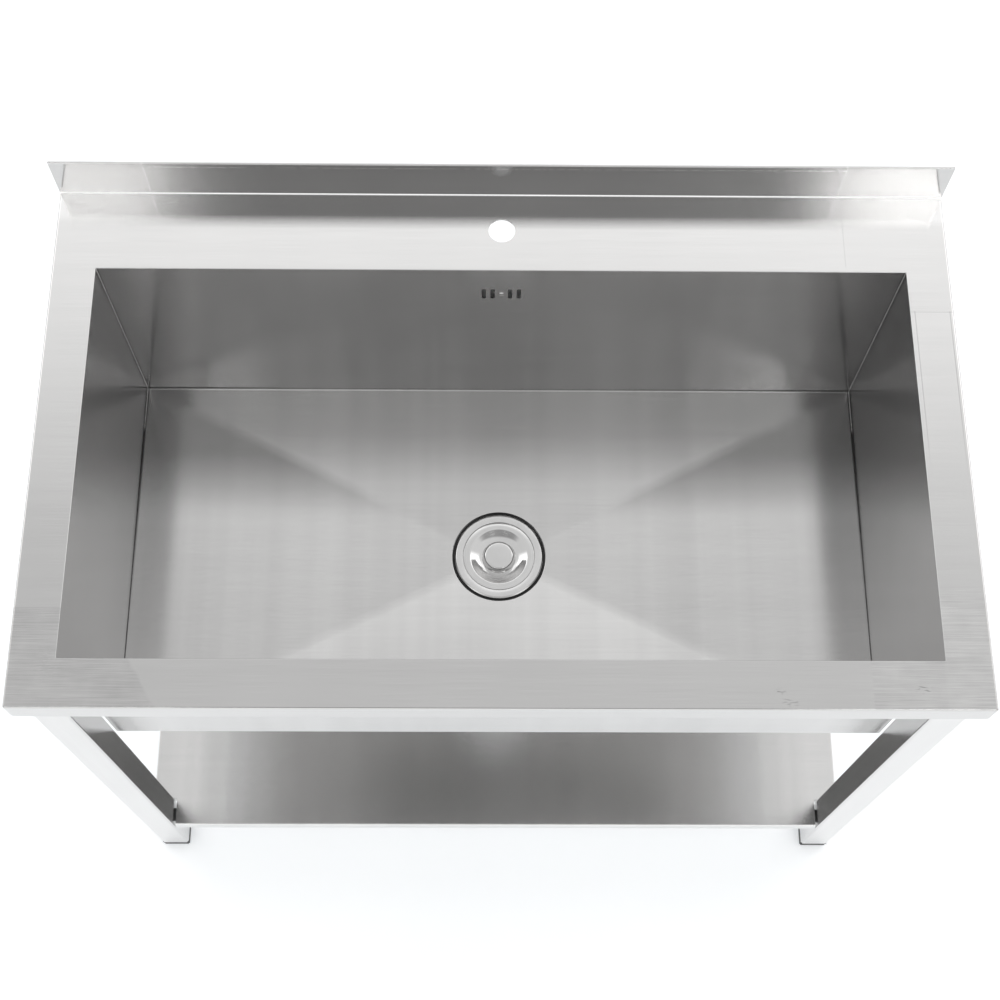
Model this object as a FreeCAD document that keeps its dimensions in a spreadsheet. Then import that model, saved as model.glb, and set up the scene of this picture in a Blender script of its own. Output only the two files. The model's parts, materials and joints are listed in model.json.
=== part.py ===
import FreeCAD, Part
import os
import re

import Sketcher
from FreeCAD import Placement, Rotation, Vector

# Utility laundry sink: a folded stainless top with a welded bowl, on four square legs with a shelf.
# X runs left to right, Y from the front apron to the upstand, Z up from the floor.
# The origin lies on the floor, under the middle of the top.

# Driving sizes in millimetres. A round piece has its radius.
SIZES = {
    # sink top
    "top_length": 1000,
    "top_depth": 600,
    "deck_height": 840,
    "upstand_height": 60,
    "apron_drop": 35,
    "top_sheet": 1.2,
    "bend_inside": 1.2,
    "hem_height": 12,
    "hem_gap": 0.6,
    "front_rim": 52,
    "side_rim": 49,
    "rear_rim": 100,
    "tap_hole_radius": 15,
    "tap_to_upstand": 46,
    "opening_corner": 1.5,
    "opening_edge": 0.8,
    # bowl
    "bowl_drop": 310,
    "bowl_sheet": 1.2,
    "bowl_bend": 2.5,
    "floor_fall": 12,
    "crease_stop": 0.05,
    "recess_radius": 58.5,
    "recess_depth": 1.2,
    # overflow
    "slot_width": 5,
    "slot_height": 21,
    "slot_pitch": 10,
    "slot_drop": 54,
    "overflow_screw_radius": 2,
    "overflow_head_radius": 3.8,
    "overflow_head_height": 2.2,
    "screw_play": 0.3,
    "overflow_box_length": 66,
    "overflow_box_height": 42,
    "overflow_box_depth": 32,
    "overflow_wall": 2,
    "overflow_gasket_sheet": 2,
    "pipe_radius": 11,
    "pipe_wall": 1.5,
    "pipe_bend": 42,
    "spigot_wall": 2.4,
    "spigot_length": 18,
    "pipe_in_spigot": 15,
    "nut_to_wall": 1.5,
    "pipe_play": 0.05,
    "pipe_nut_height": 16,
    "pipe_nut_wall": 4,
    "pipe_nut_lip": 2.5,
    "cone_height": 3,
    # waste
    "flange_radius": 55,
    "flange_rise": 5.2,
    "flange_sheet": 1.2,
    "flange_edge": 1.3,
    "upper_gasket_sheet": 2.5,
    "lower_gasket_sheet": 3,
    "gasket_edge": 0.4,
    "lid_radius": 44.25,
    "lid_play": 0.35,
    "lid_ledge": 3,
    "lid_sheet": 1,
    "lid_rim": 8.5,
    "lid_dish_depth": 7.5,
    "lid_slope": 7,
    "knob_radius": 19,
    "knob_rise": 3.8,
    "knob_shoulder": 4,
    "cup_depth": 40,
    "cup_sheet": 1.2,
    "cup_hole_radius": 21,
    "cup_hole_play": 0.3,
    "basket_rim_sheet": 0.8,
    "basket_depth": 28,
    "basket_taper": 4.5,
    "basket_play": 1.2,
    "basket_ring_step": 8,
    "basket_hole_radius": 1.7,
    "basket_slot_width": 3,
    "basket_slot_height": 12,
    "post_radius": 3,
    "post_knob_radius": 8,
    "post_knob_height": 4,
    "post_top_drop": 8,
    "seal_radius": 25,
    "seal_sheet": 5,
    "thread_play": 0.1,
    "body_collar_wall": 13,
    "body_collar_height": 10,
    "body_wall": 3.5,
    "chamber_gap": 4,
    "chamber_depth": 20,
    "body_cone": 8,
    "outlet_radius": 23.9,
    "outlet_bore": 20,
    "outlet_length": 30,
    # legs and feet
    "leg_width": 38,
    "leg_wall": 1.2,
    "leg_round": 3,
    "leg_side_inset": 12,
    "leg_end_inset": 9,
    "socket_plate_width": 42,
    "socket_plate_sheet": 3,
    "socket_wall": 2,
    "socket_play": 0.2,
    "socket_length": 60,
    "leg_screw_radius": 3,
    "leg_screw_drop": 19,
    "screw_tip": 2,
    "head_radius": 5.25,
    "head_height": 3.3,
    "key_width": 4,
    "key_depth": 2,
    "nut_width": 10,
    "nut_height": 5,
    "nut_play": 0.03,
    "foot_height": 11,
    "insert_lip": 2.5,
    "insert_length": 25,
    "insert_play": 0.2,
    "stud_radius": 5,
    "stud_play": 0.06,
    "stud_in_foot": 8,
    "stud_reach": 38,
    "foot_chamfer": 1,
    # shelf
    "shelf_height": 140,
    "shelf_lip": 22,
    "shelf_sheet": 1,
    "shelf_side_inset": 20,
    "shelf_end_inset": 12,
    "shelf_leg_gap": 2,
    "shelf_return": 10,
    "shelf_bend": 2,
    "stiffener_end_gap": 60,
    "stiffener_width": 70,
    "stiffener_flange": 15,
    "spacer_radius": 9,
    "rivet_nut_radius": 4.5,
    "rivet_nut_flange": 6.5,
    "rivet_nut_sheet": 1,
    "rivet_nut_length": 13,
    # rear rail and tap plate
    "rail_drop": 36,
    "rail_shelf": 22,
    "rail_end_gap": 1.5,
    "tap_plate_length": 120,
    "tap_plate_sheet": 1.5,
    "plate_gap": 3,
}

# Places and sizes that follow from the driving ones.
PLACES = {
    "half_length": "top_length / 2",
    "half_depth": "top_depth / 2",
    "hem": "2 * top_sheet + hem_gap",
    "bend_outside": "bend_inside + top_sheet",
    "deck_under": "deck_height - top_sheet",
    "apron_foot": "deck_height - apron_drop",
    "upstand_face": "half_depth - hem",
    "upstand_back": "upstand_face + top_sheet",
    "upstand_top": "deck_height + upstand_height",
    "strip_front": "upstand_face - 3 * bend_outside",
    "bowl_half": "half_length - side_rim",
    "bowl_front": "front_rim - half_depth",
    "bowl_back": "half_depth - rear_rim",
    "bowl_middle": "(bowl_front + bowl_back) / 2",
    "wall_front": "bowl_front - bowl_sheet",
    "wall_back": "bowl_back + bowl_sheet",
    "floor_edge": "deck_height - bowl_drop",
    "floor_under": "floor_edge - bowl_sheet",
    "crease_x": "bowl_half * crease_stop",
    "crease_y": "(bowl_back - bowl_front) / 2 * crease_stop",
    "crease_low": "floor_edge - floor_fall * (1 - crease_stop)",
    "recess_floor": "floor_edge - floor_fall - recess_depth",
    "tap_y": "upstand_face - tap_to_upstand",
    # legs
    "leg_x": "half_length - leg_side_inset - leg_width / 2",
    "leg_y": "half_depth - leg_end_inset - leg_width / 2",
    "leg_face": "leg_x - leg_width / 2",
    "leg_bore": "leg_width - 2 * leg_wall",
    "socket_width": "leg_bore - 2 * socket_play",
    "plate_under": "deck_under - socket_plate_sheet",
    "leg_foot": "foot_height + insert_lip",
    "screw_level": "deck_height - leg_screw_drop",
    "screw_hole": "leg_screw_radius + screw_play",
    # shelf
    "shelf_half": "half_length - shelf_side_inset",
    "shelf_end": "half_depth - shelf_end_inset",
    "notch_x": "leg_face - shelf_leg_gap",
    "notch_y": "leg_y - leg_width / 2 - shelf_leg_gap",
    "shelf_foot": "shelf_height - shelf_lip",
    "shelf_under": "shelf_height - shelf_sheet",
    "bolt_level": "shelf_height - shelf_lip / 2",
    "stiffener_half": "shelf_half - stiffener_end_gap",
    # waste, measured up from the recess floor
    "lid_seat": "flange_rise - lid_sheet - basket_rim_sheet",
    "lid_opening": "lid_radius + lid_play",
    "throat": "lid_opening + flange_sheet",
    "cup_radius": "lid_opening - lid_ledge",
    "bowl_hole": "throat + cup_hole_play",
    "cup_outside": "cup_radius + cup_sheet",
    "cup_floor": "-cup_depth",
    "lid_top": "lid_seat + basket_rim_sheet + lid_sheet",
    "post_top": "lid_top - post_top_drop",
    "basket_foot": "lid_seat + basket_rim_sheet - basket_depth",
    "basket_top_radius": "cup_radius - basket_play",
    "basket_low_radius": "basket_top_radius - basket_taper",
    "collar_top": "-bowl_sheet - lower_gasket_sheet",
    "collar_foot": "collar_top - body_collar_height",
    "collar_bore": "cup_outside + thread_play",
    "chamber_bore": "cup_outside + chamber_gap",
    "chamber_foot": "cup_floor - chamber_depth",
    "outlet_foot": "chamber_foot - body_cone - outlet_length",
    "spigot_bore": "pipe_radius + pipe_play",
    "spigot_radius": "spigot_bore + spigot_wall",
    "nut_bore": "spigot_radius + pipe_play",
    "nut_radius": "nut_bore + pipe_nut_wall",
    "spigot_level": "cup_floor - chamber_depth / 4",
    "body_spigot_end": "chamber_bore + body_wall + spigot_length",
    # overflow, in the sink's frame
    "slot_level": "deck_height - slot_drop",
    "overflow_hole": "overflow_screw_radius + screw_play",
    "overflow_grip": "overflow_gasket_sheet + overflow_box_depth / 2",
    "box_front": "wall_back + overflow_gasket_sheet",
    "box_back": "box_front + overflow_box_depth",
    "box_foot": "slot_level - overflow_box_height / 2",
    "pipe_y": "wall_back + nut_to_wall + nut_radius",
    "box_spigot_foot": "box_foot - spigot_length",
    "pipe_top": "box_spigot_foot + pipe_in_spigot",
    "pipe_low": "recess_floor + spigot_level",
    "pipe_front": "bowl_middle + body_spigot_end - pipe_in_spigot",
    # rear rail
    "rail_end": "leg_x - socket_plate_width / 2 - plate_gap",
    "rail_front": "upstand_back - rail_shelf",
}

# Two places closer than this are one and the same.
SAME_PLACE = 1e-4

# Holes in each ring of the basket's floor, counted from the outermost, and slots round its wall.
BASKET_RINGS = {1: 20, 2: 14, 3: 8}
BASKET_SLOTS = 18

CORNERS = {
    "front_left": (-1, -1),
    "front_right": (1, -1),
    "rear_left": (-1, 1),
    "rear_right": (1, 1),
}

doc = FreeCAD.newDocument("laundry_sink")
sheet = doc.addObject("Spreadsheet::Sheet", "sizes")
nodes = []


def fill_sheet():
    """Put every driving size into the sheet, with its name as the alias."""
    for row, (name, value) in enumerate(SIZES.items(), start=1):
        sheet.set(f"A{row}", name)
        sheet.set(f"B{row}", str(value))
        sheet.setAlias(f"B{row}", name)
    doc.recompute()


def formula(text):
    """Turn a formula of plain names into an expression on the sheet."""

    def expand(match):
        word = match.group()
        if word in PLACES:
            return f"({formula(PLACES[word])})"
        return f"sizes.{word}" if word in SIZES else word

    return re.sub(r"[a-z_]+", expand, str(text))


def number(text):
    """The present value of a formula."""
    return float(sheet.evalExpression(formula(text)))


def bind(thing, **formulas):
    """Bind properties of one object; place_x stands for Placement.Base.x."""
    for name, text in formulas.items():
        path = f"Placement.Base.{name[-1]}" if name.startswith("place_") else name
        thing.setExpression(path, formula(text))
    return thing


def keep(thing, node):
    """List an object as one sub-part, under its own label."""
    thing.Label = node
    nodes.append(thing)
    return thing


# Sketched bodies


def new_body(node):
    """An empty body that will be one sub-part."""
    return keep(doc.addObject("PartDesign::Body", node), node)


def new_sketch(body, plane, level="0"):
    """A sketch on one of the body's origin planes, moved along the plane's normal."""
    sketch = body.newObject("Sketcher::SketchObject", f"{body.Name}_sketch")
    support = [item for item in body.Origin.OriginFeatures if item.Role == plane]
    sketch.AttachmentSupport = [(support[0], "")]
    sketch.MapMode = "FlatFace"
    sketch.setExpression("AttachmentOffset.Base.z", formula(level))
    return sketch


def fix_point(sketch, geometry, point, place, name):
    """Hold one point of a sketch at a pair of formulas."""
    for axis, text in zip("XY", place):
        rule = Sketcher.Constraint(f"Distance{axis}", -1, 1, geometry, point, number(text))
        label = f"{name}_{axis}"
        sketch.renameConstraint(sketch.addConstraint(rule), label)
        sketch.setExpression(f"Constraints.{label}", formula(text))


def outline(sketch, corners):
    """Draw a closed outline of straight lines; a corner is a pair of formulas."""
    places = [Vector(number(across), number(up), 0) for across, up in corners]
    lines = []
    for start, end in zip(places, places[1:] + places[:1]):
        lines.append(sketch.addGeometry(Part.LineSegment(start, end)))
    for line, following in zip(lines, lines[1:] + lines[:1]):
        sketch.addConstraint(Sketcher.Constraint("Coincident", line, 2, following, 1))
    for line, corner in zip(lines, corners):
        fix_point(sketch, line, 1, corner, f"corner_{line}")
    return sketch


def rectangle(sketch, across, up):
    """A rectangle between two formulas each way."""
    low_x, high_x = across
    low_y, high_y = up
    return outline(sketch, [(low_x, low_y), (high_x, low_y), (high_x, high_y), (low_x, high_y)])


def circle(sketch, place, radius):
    """A circle about a pair of formulas."""
    middle = Vector(number(place[0]), number(place[1]), 0)
    ring = sketch.addGeometry(Part.Circle(middle, Vector(0, 0, 1), number(radius)))
    fix_point(sketch, ring, 3, place, f"centre_{ring}")
    name = f"radius_{ring}"
    sketch.renameConstraint(sketch.addConstraint(Sketcher.Constraint("Radius", ring, number(radius))), name)
    sketch.setExpression(f"Constraints.{name}", formula(radius))
    return sketch


def feature(body, kind, sketch, length=None, backwards=False):
    """Add a sketched feature, and make it the body's result."""
    item = body.newObject(f"PartDesign::{kind}", f"{body.Name}_{kind.lower()}")
    item.Profile = sketch
    if length is not None:
        bind(item, Length=length)
        item.Reversed = backwards
    doc.recompute()
    return item


def pad(body, sketch, length, backwards=False):
    """Raise a sketch along its normal."""
    return feature(body, "Pad", sketch, length, backwards)


def pocket(body, sketch, length, upwards=False):
    """Cut a sketch away, against its normal or along it."""
    volume = body.Shape.Volume
    item = feature(body, "Pocket", sketch, length, upwards)
    assert body.Shape.Volume < volume, f"{item.Name} cuts nothing"
    return item


def revolve(body, corners):
    """Turn an outline of (radius, height) corners about the body's Z axis."""
    sketch = outline(new_sketch(body, "XZ_Plane"), corners)
    item = body.newObject("PartDesign::Revolution", f"{body.Name}_revolution")
    item.Profile = sketch
    item.ReferenceAxis = (sketch, ["V_Axis"])
    item.Angle = 360
    doc.recompute()
    return item


def repeat_round(body, item, count):
    """Repeat a feature round the body's Z axis."""
    pattern = body.newObject("PartDesign::PolarPattern", f"{item.Name}_pattern")
    pattern.Originals = [item]
    axis = [part for part in body.Origin.OriginFeatures if part.Role == "Z_Axis"]
    pattern.Axis = (axis[0], [""])
    pattern.Angle = 360
    pattern.Occurrences = count
    body.Tip = pattern
    doc.recompute()
    return pattern


def lies_at(edge, limits):
    """Whether an edge stays at the given value along every axis named in limits."""
    box = edge.BoundBox
    spans = {"x": (box.XMin, box.XMax), "y": (box.YMin, box.YMax), "z": (box.ZMin, box.ZMax)}
    for axis, value in limits.items():
        low, high = spans[axis]
        if max(abs(low - value), abs(high - value)) > SAME_PLACE:
            return False
    return True


def round_edges(body, radius, *places, kind="Fillet"):
    """Round, or chamfer, the edges that lie at the given places of the body's last feature."""
    base = body.Tip
    wanted = [{axis: number(text) for axis, text in place.items()} for place in places]
    names = []
    for index, edge in enumerate(base.Shape.Edges, start=1):
        if any(lies_at(edge, limits) for limits in wanted):
            names.append(f"Edge{index}")
    assert names, f"{body.Name} has no such edge"
    item = body.newObject(f"PartDesign::{kind}", f"{body.Name}_{kind.lower()}")
    item.Base = (base, names)
    bind(item, **{"Radius" if kind == "Fillet" else "Size": radius})
    doc.recompute()
    return item


# Primitives and booleans


def box(name, across, along, up):
    """A block between two formulas along each axis."""
    item = doc.addObject("Part::Box", name)
    bind(item, Length=f"({across[1]}) - ({across[0]})", place_x=across[0])
    bind(item, Width=f"({along[1]}) - ({along[0]})", place_y=along[0])
    bind(item, Height=f"({up[1]}) - ({up[0]})", place_z=up[0])
    return item


def cylinder(name, radius, length, start, direction=Vector(0, 0, 1)):
    """A cylinder from a start point, three formulas, along a direction."""
    item = doc.addObject("Part::Cylinder", name)
    item.Placement = Placement(Vector(), Rotation(Vector(0, 0, 1), direction))
    bind(item, Radius=radius, Height=length, place_x=start[0], place_y=start[1], place_z=start[2])
    return item


def cone(name, low_radius, high_radius, low, high):
    """A cone about the Z axis between two levels."""
    item = doc.addObject("Part::Cone", name)
    bind(item, Radius1=low_radius, Radius2=high_radius, Height=f"({high}) - ({low})", place_z=low)
    return item


def join(name, *parts):
    """The union of several objects."""
    item = doc.addObject("Part::MultiFuse", name)
    item.Shapes = list(parts)
    item.Refine = True
    doc.recompute()
    return item


def cut(name, base, *tools):
    """One object less the others."""
    item = doc.addObject("Part::Cut", name)
    item.Base = base
    item.Tool = tools[0] if len(tools) == 1 else join(f"{name}_tools", *tools)
    item.Refine = True
    doc.recompute()
    return item


def group(node, items):
    """Several separate solids kept as one sub-part."""
    item = keep(doc.addObject("Part::Compound", node), node)
    item.Links = items
    doc.recompute()
    return item


def around(centre, half):
    """The two ends of a span of the given half width."""
    return f"{centre} - ({half})", f"{centre} + ({half})"


# Sink top, rail and plate


def make_sink_top():
    """Deck, aprons and upstand folded from one sheet, with hemmed free edges."""
    body = new_body("sink_top")
    span = ("-half_length", "half_length")
    block = rectangle(new_sketch(body, "XY_Plane", "apron_foot"), span, ("-half_depth", "strip_front"))
    pad(body, block, "apron_drop")
    round_edges(
        body,
        "bend_outside",
        {"y": "-half_depth", "z": "deck_height"},
        {"x": "-half_length", "z": "deck_height"},
        {"x": "half_length", "z": "deck_height"},
        {"x": "-half_length", "y": "-half_depth"},
        {"x": "half_length", "y": "-half_depth"},
    )
    hollow = inner_rectangle(body, "top_sheet", "apron_foot")
    pocket(body, hollow, "apron_drop - top_sheet", upwards=True)
    round_edges(
        body,
        "bend_inside",
        {"y": "top_sheet - half_depth", "z": "deck_under"},
        {"x": "top_sheet - half_length", "z": "deck_under"},
        {"x": "half_length - top_sheet", "z": "deck_under"},
        {"x": "top_sheet - half_length", "y": "top_sheet - half_depth"},
        {"x": "half_length - top_sheet", "y": "top_sheet - half_depth"},
    )
    # The aprons' lower edges are folded up inside them: a closed fold, then the second layer.
    pad(body, edge_band(body, "top_sheet", "apron_foot"), "top_sheet")
    pad(body, edge_band(body, "top_sheet + hem_gap", "apron_foot"), "hem_height")
    round_edges(
        body,
        "top_sheet",
        {"y": "-half_depth", "z": "apron_foot"},
        {"x": "-half_length", "z": "apron_foot"},
        {"x": "half_length", "z": "apron_foot"},
        {"y": "hem - half_depth", "z": "apron_foot"},
        {"x": "hem - half_length", "z": "apron_foot"},
        {"x": "half_length - hem", "z": "apron_foot"},
    )
    # The back strip turns up into the upstand, whose top edge is folded over backwards.
    profile = [
        ("strip_front", "deck_under"),
        ("strip_front", "deck_height"),
        ("upstand_face", "deck_height"),
        ("upstand_face", "upstand_top"),
        ("half_depth", "upstand_top"),
        ("half_depth", "upstand_top - hem_height"),
        ("half_depth - top_sheet", "upstand_top - hem_height"),
        ("half_depth - top_sheet", "upstand_top - top_sheet"),
        ("upstand_back", "upstand_top - top_sheet"),
        ("upstand_back", "deck_under"),
    ]
    pad(body, outline(new_sketch(body, "YZ_Plane", "-half_length"), profile), "top_length")
    round_edges(body, "bend_inside", {"y": "upstand_face", "z": "deck_height"})
    round_edges(body, "bend_outside", {"y": "upstand_back", "z": "deck_under"})
    round_edges(
        body,
        "top_sheet",
        {"y": "upstand_face", "z": "upstand_top"},
        {"y": "half_depth", "z": "upstand_top"},
    )
    across = ("-bowl_half", "bowl_half")
    along = ("bowl_front", "bowl_back")
    pocket(body, rectangle(new_sketch(body, "XY_Plane", "deck_height"), across, along), "top_sheet")
    round_edges(body, "opening_corner", *[{"x": x, "y": y} for x in across for y in along])
    round_edges(
        body,
        "opening_edge",
        {"y": "bowl_front", "z": "deck_height"},
        {"y": "bowl_back", "z": "deck_height"},
        {"x": "-bowl_half", "z": "deck_height"},
        {"x": "bowl_half", "z": "deck_height"},
    )
    hole = circle(new_sketch(body, "XY_Plane", "deck_height"), ("0", "tap_y"), "tap_hole_radius")
    pocket(body, hole, "top_sheet")
    return body


def inner_rectangle(body, inset, level):
    """The deck's rectangle, drawn in by an inset at the front and the sides."""
    across = around("0", f"half_length - ({inset})")
    return rectangle(new_sketch(body, "XY_Plane", level), across, (f"{inset} - half_depth", "strip_front"))


def edge_band(body, inset, level):
    """A band along the inside of the three aprons, from an inset to the hem's thickness."""
    corners = [
        (f"{inset} - half_length", "strip_front"),
        (f"{inset} - half_length", f"{inset} - half_depth"),
        (f"half_length - ({inset})", f"{inset} - half_depth"),
        (f"half_length - ({inset})", "strip_front"),
        ("half_length - hem", "strip_front"),
        ("half_length - hem", "hem - half_depth"),
        ("hem - half_length", "hem - half_depth"),
        ("hem - half_length", "strip_front"),
    ]
    return outline(new_sketch(body, "XY_Plane", level), corners)


def make_rear_rail():
    """An angle under the back edge, which closes the back below the upstand."""
    body = new_body("rear_rail")
    face = rectangle(
        new_sketch(body, "YZ_Plane", "rail_end_gap - half_length"),
        ("upstand_back - top_sheet", "upstand_back"),
        ("deck_height - rail_drop", "deck_under - bend_outside"),
    )
    pad(body, face, "top_length - 2 * rail_end_gap")
    profile = [
        ("rail_front", "deck_under"),
        ("rail_front", "deck_under - top_sheet"),
        ("upstand_back - top_sheet", "deck_under - top_sheet"),
        ("upstand_back - top_sheet", "deck_under - 2 * bend_outside"),
        ("upstand_back", "deck_under - 2 * bend_outside"),
        ("upstand_back", "deck_under"),
    ]
    pad(body, outline(new_sketch(body, "YZ_Plane", "-rail_end"), profile), "2 * rail_end")
    round_edges(body, "bend_inside", {"y": "upstand_back - top_sheet", "z": "deck_under - top_sheet"})
    round_edges(body, "bend_outside", {"y": "upstand_back", "z": "deck_under"})
    return body


def make_tap_plate():
    """A plate under the deck that stiffens it round the tap hole."""
    body = new_body("tap_plate")
    sketch = rectangle(
        new_sketch(body, "XY_Plane", "deck_under"),
        around("0", "tap_plate_length / 2"),
        ("bowl_back + bowl_sheet + plate_gap", "rail_front - plate_gap"),
    )
    pad(body, sketch, "tap_plate_sheet", backwards=True)
    hole = circle(new_sketch(body, "XY_Plane", "deck_under"), ("0", "tap_y"), "tap_hole_radius")
    pocket(body, hole, "tap_plate_sheet")
    return body


# Bowl


def make_bowl_wrap():
    """Front wall, creased floor and rear wall, folded from one sheet."""
    body = new_body("bowl_wrap")
    span = ("-bowl_half", "bowl_half")
    block = rectangle(new_sketch(body, "XY_Plane", "floor_under"), span, ("wall_front", "wall_back"))
    pad(body, block, "deck_under - floor_under")
    round_bends(body, "bowl_bend + bowl_sheet", ("wall_front", "wall_back"), "floor_under")
    hollow = rectangle(new_sketch(body, "XY_Plane", "deck_under"), span, ("bowl_front", "bowl_back"))
    pocket(body, hollow, "deck_under - floor_edge")
    round_bends(body, "bowl_bend", ("bowl_front", "bowl_back"), "floor_edge")
    add_wedge(body, "AdditiveWedge", "floor_under", "crease_low - bowl_sheet")
    waste = ("0", "bowl_middle")
    recess_under = new_sketch(body, "XY_Plane", "recess_floor - bowl_sheet")
    pad(body, circle(recess_under, waste, "recess_radius + bowl_sheet"), "floor_edge - recess_floor")
    volume = body.Shape.Volume
    add_wedge(body, "SubtractiveWedge", "floor_edge", "crease_low")
    assert body.Shape.Volume < volume, "the floor's fall cuts nothing"
    dish = circle(new_sketch(body, "XY_Plane", "floor_edge"), waste, "recess_radius")
    pocket(body, dish, "floor_edge - recess_floor")
    hole = circle(new_sketch(body, "XY_Plane", "floor_edge"), waste, "bowl_hole")
    pocket(body, hole, "floor_edge - recess_floor + 2 * bowl_sheet")
    before_wall = "bowl_sheet - bowl_back"
    through_wall = "3 * bowl_sheet"
    for step in (-2, -1, 1, 2):
        width = around(f"{step} * slot_pitch", "slot_width / 2")
        height = around("slot_level", "slot_height / 2")
        pocket(body, rectangle(new_sketch(body, "XZ_Plane", before_wall), width, height), through_wall)
    screw_hole = circle(new_sketch(body, "XZ_Plane", before_wall), ("0", "slot_level"), "overflow_hole")
    pocket(body, screw_hole, through_wall)
    return body


def round_bends(body, radius, walls, level):
    """Round the two long bends between the floor and the front and rear walls."""
    round_edges(body, radius, *[{"y": wall, "z": level} for wall in walls])


def add_wedge(body, kind, level, low):
    """The fall of the floor, from the walls' foot to a small rectangle at the waste."""
    item = body.newObject(f"PartDesign::{kind}", f"{body.Name}_{kind.lower()}")
    item.Placement = Placement(Vector(), Rotation(Vector(1, 0, 0), 90))
    bind(item, Ymin=low, Ymax=level, Xmin="-crease_x", Xmax="crease_x", X2min="-bowl_half", X2max="bowl_half")
    bind(item, Zmin="-(bowl_middle + crease_y)", Zmax="-(bowl_middle - crease_y)")
    bind(item, Z2min="-(bowl_back - bowl_bend)", Z2max="-(bowl_front + bowl_bend)")
    doc.recompute()
    return item


def make_bowl_end(node, side):
    """One end plate of the bowl, welded to the wrap."""
    body = new_body(node)
    walls = ("wall_front", "wall_back")
    plane = new_sketch(body, "YZ_Plane", f"{side} * bowl_half")
    pad(body, rectangle(plane, walls, ("floor_under", "deck_under")), "bowl_sheet", backwards=side < 0)
    round_bends(body, "bowl_bend + bowl_sheet", walls, "floor_under")
    return body


# Legs and feet. Each is modelled about its own axis, with +X towards the middle of the sink.


def at_corner(body, corner):
    """Place a body on a leg's axis, turned so that its +X side faces the middle."""
    side, end = CORNERS[corner]
    body.Placement = Placement(Vector(), Rotation(Vector(1, 0, 0), Vector(-side, 0, 0)))
    bind(body, place_x=f"{side} * leg_x", place_y=f"{end} * leg_y")
    return body


def square(body, level, width):
    """A square about the body's axis."""
    half = f"({width}) / 2"
    return rectangle(new_sketch(body, "XY_Plane", level), around("0", half), around("0", half))


def round_square(body, width, radius):
    """Round the four upright edges of a square."""
    half = f"({width}) / 2"
    corners = [{"x": f"{i} * {half}", "y": f"{j} * {half}"} for i in (-1, 1) for j in (-1, 1)]
    round_edges(body, radius, *corners)


def side_hole(body, level, radius, start, depth):
    """A round hole into the side that faces the middle of the sink."""
    sketch = circle(new_sketch(body, "YZ_Plane", start), ("0", level), radius)
    pocket(body, sketch, depth)


def make_leg_socket(corner):
    """A plate welded under the deck, with the square stub that a leg slips over."""
    body = at_corner(new_body(f"leg_socket_{corner}"), corner)
    pad(body, square(body, "plate_under", "socket_plate_width"), "socket_plate_sheet")
    pad(body, square(body, "plate_under - socket_length", "socket_width"), "socket_length")
    round_square(body, "socket_width", "leg_round - leg_wall")
    bore = square(body, "plate_under - socket_length", "socket_width - 2 * socket_wall")
    pocket(body, bore, "socket_length", upwards=True)
    side_hole(body, "screw_level", "screw_hole", "socket_width / 2", "2 * socket_wall")
    return body


def make_leg(corner):
    """A square tube with the screw hole at its top and the rivet nut's hole at the shelf."""
    body = at_corner(new_body(f"leg_{corner}"), corner)
    pad(body, square(body, "leg_foot", "leg_width"), "plate_under - leg_foot")
    round_square(body, "leg_width", "leg_round")
    pocket(body, square(body, "plate_under", "leg_bore"), "plate_under - leg_foot")
    round_square(body, "leg_bore", "leg_round - leg_wall")
    side_hole(body, "screw_level", "screw_hole", "leg_width / 2", "2 * leg_wall")
    side_hole(body, "bolt_level", "rivet_nut_radius", "leg_width / 2", "2 * leg_wall")
    return body


def make_foot_insert(corner):
    """The black plug in the leg's foot that takes the thread of the stud."""
    body = at_corner(new_body(f"foot_insert_{corner}"), corner)
    pad(body, square(body, "foot_height", "leg_width"), "insert_lip")
    round_square(body, "leg_width", "leg_round")
    pad(body, square(body, "leg_foot", "leg_bore - 2 * insert_play"), "insert_length")
    round_square(body, "leg_bore - 2 * insert_play", "leg_round - leg_wall")
    top = new_sketch(body, "XY_Plane", "leg_foot + insert_length")
    pocket(body, circle(top, ("0", "0"), "stud_radius + stud_play"), "insert_length + insert_lip")
    return body


def make_foot_pad(corner):
    """The square black foot."""
    body = at_corner(new_body(f"foot_pad_{corner}"), corner)
    pad(body, square(body, "0", "leg_width"), "foot_height")
    round_square(body, "leg_width", "leg_round")
    bottom = [{axis: f"{side} * leg_width / 2", "z": "0"} for axis in "xy" for side in (-1, 1)]
    round_edges(body, "foot_chamfer", *bottom, kind="Chamfer")
    hole = circle(new_sketch(body, "XY_Plane", "foot_height"), ("0", "0"), "stud_radius")
    pocket(body, hole, "stud_in_foot")
    return body


def make_foot_stud(corner):
    """The steel stud moulded into a foot."""
    body = at_corner(new_body(f"foot_stud_{corner}"), corner)
    shank = circle(new_sketch(body, "XY_Plane", "foot_height - stud_in_foot"), ("0", "0"), "stud_radius")
    pad(body, shank, "stud_in_foot + stud_reach")
    round_edges(body, "foot_chamfer", {"z": "foot_height + stud_reach"}, kind="Chamfer")
    return body


# Shelf


def shelf_outline(body, level, inset):
    """The shelf's outline with its four corners notched round the legs, drawn in by an inset."""
    wide = f"shelf_half - ({inset})"
    long = f"shelf_end - ({inset})"
    notch_x = f"notch_x - ({inset})"
    notch_y = f"notch_y - ({inset})"
    quarter = [(wide, notch_y), (notch_x, notch_y), (notch_x, long)]
    corners = list(quarter)
    corners += [(f"-({x})", y) for x, y in reversed(quarter)]
    corners += [(f"-({x})", f"-({y})") for x, y in quarter]
    corners += [(x, f"-({y})") for x, y in reversed(quarter)]
    return outline(new_sketch(body, "XY_Plane", level), corners)


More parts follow.
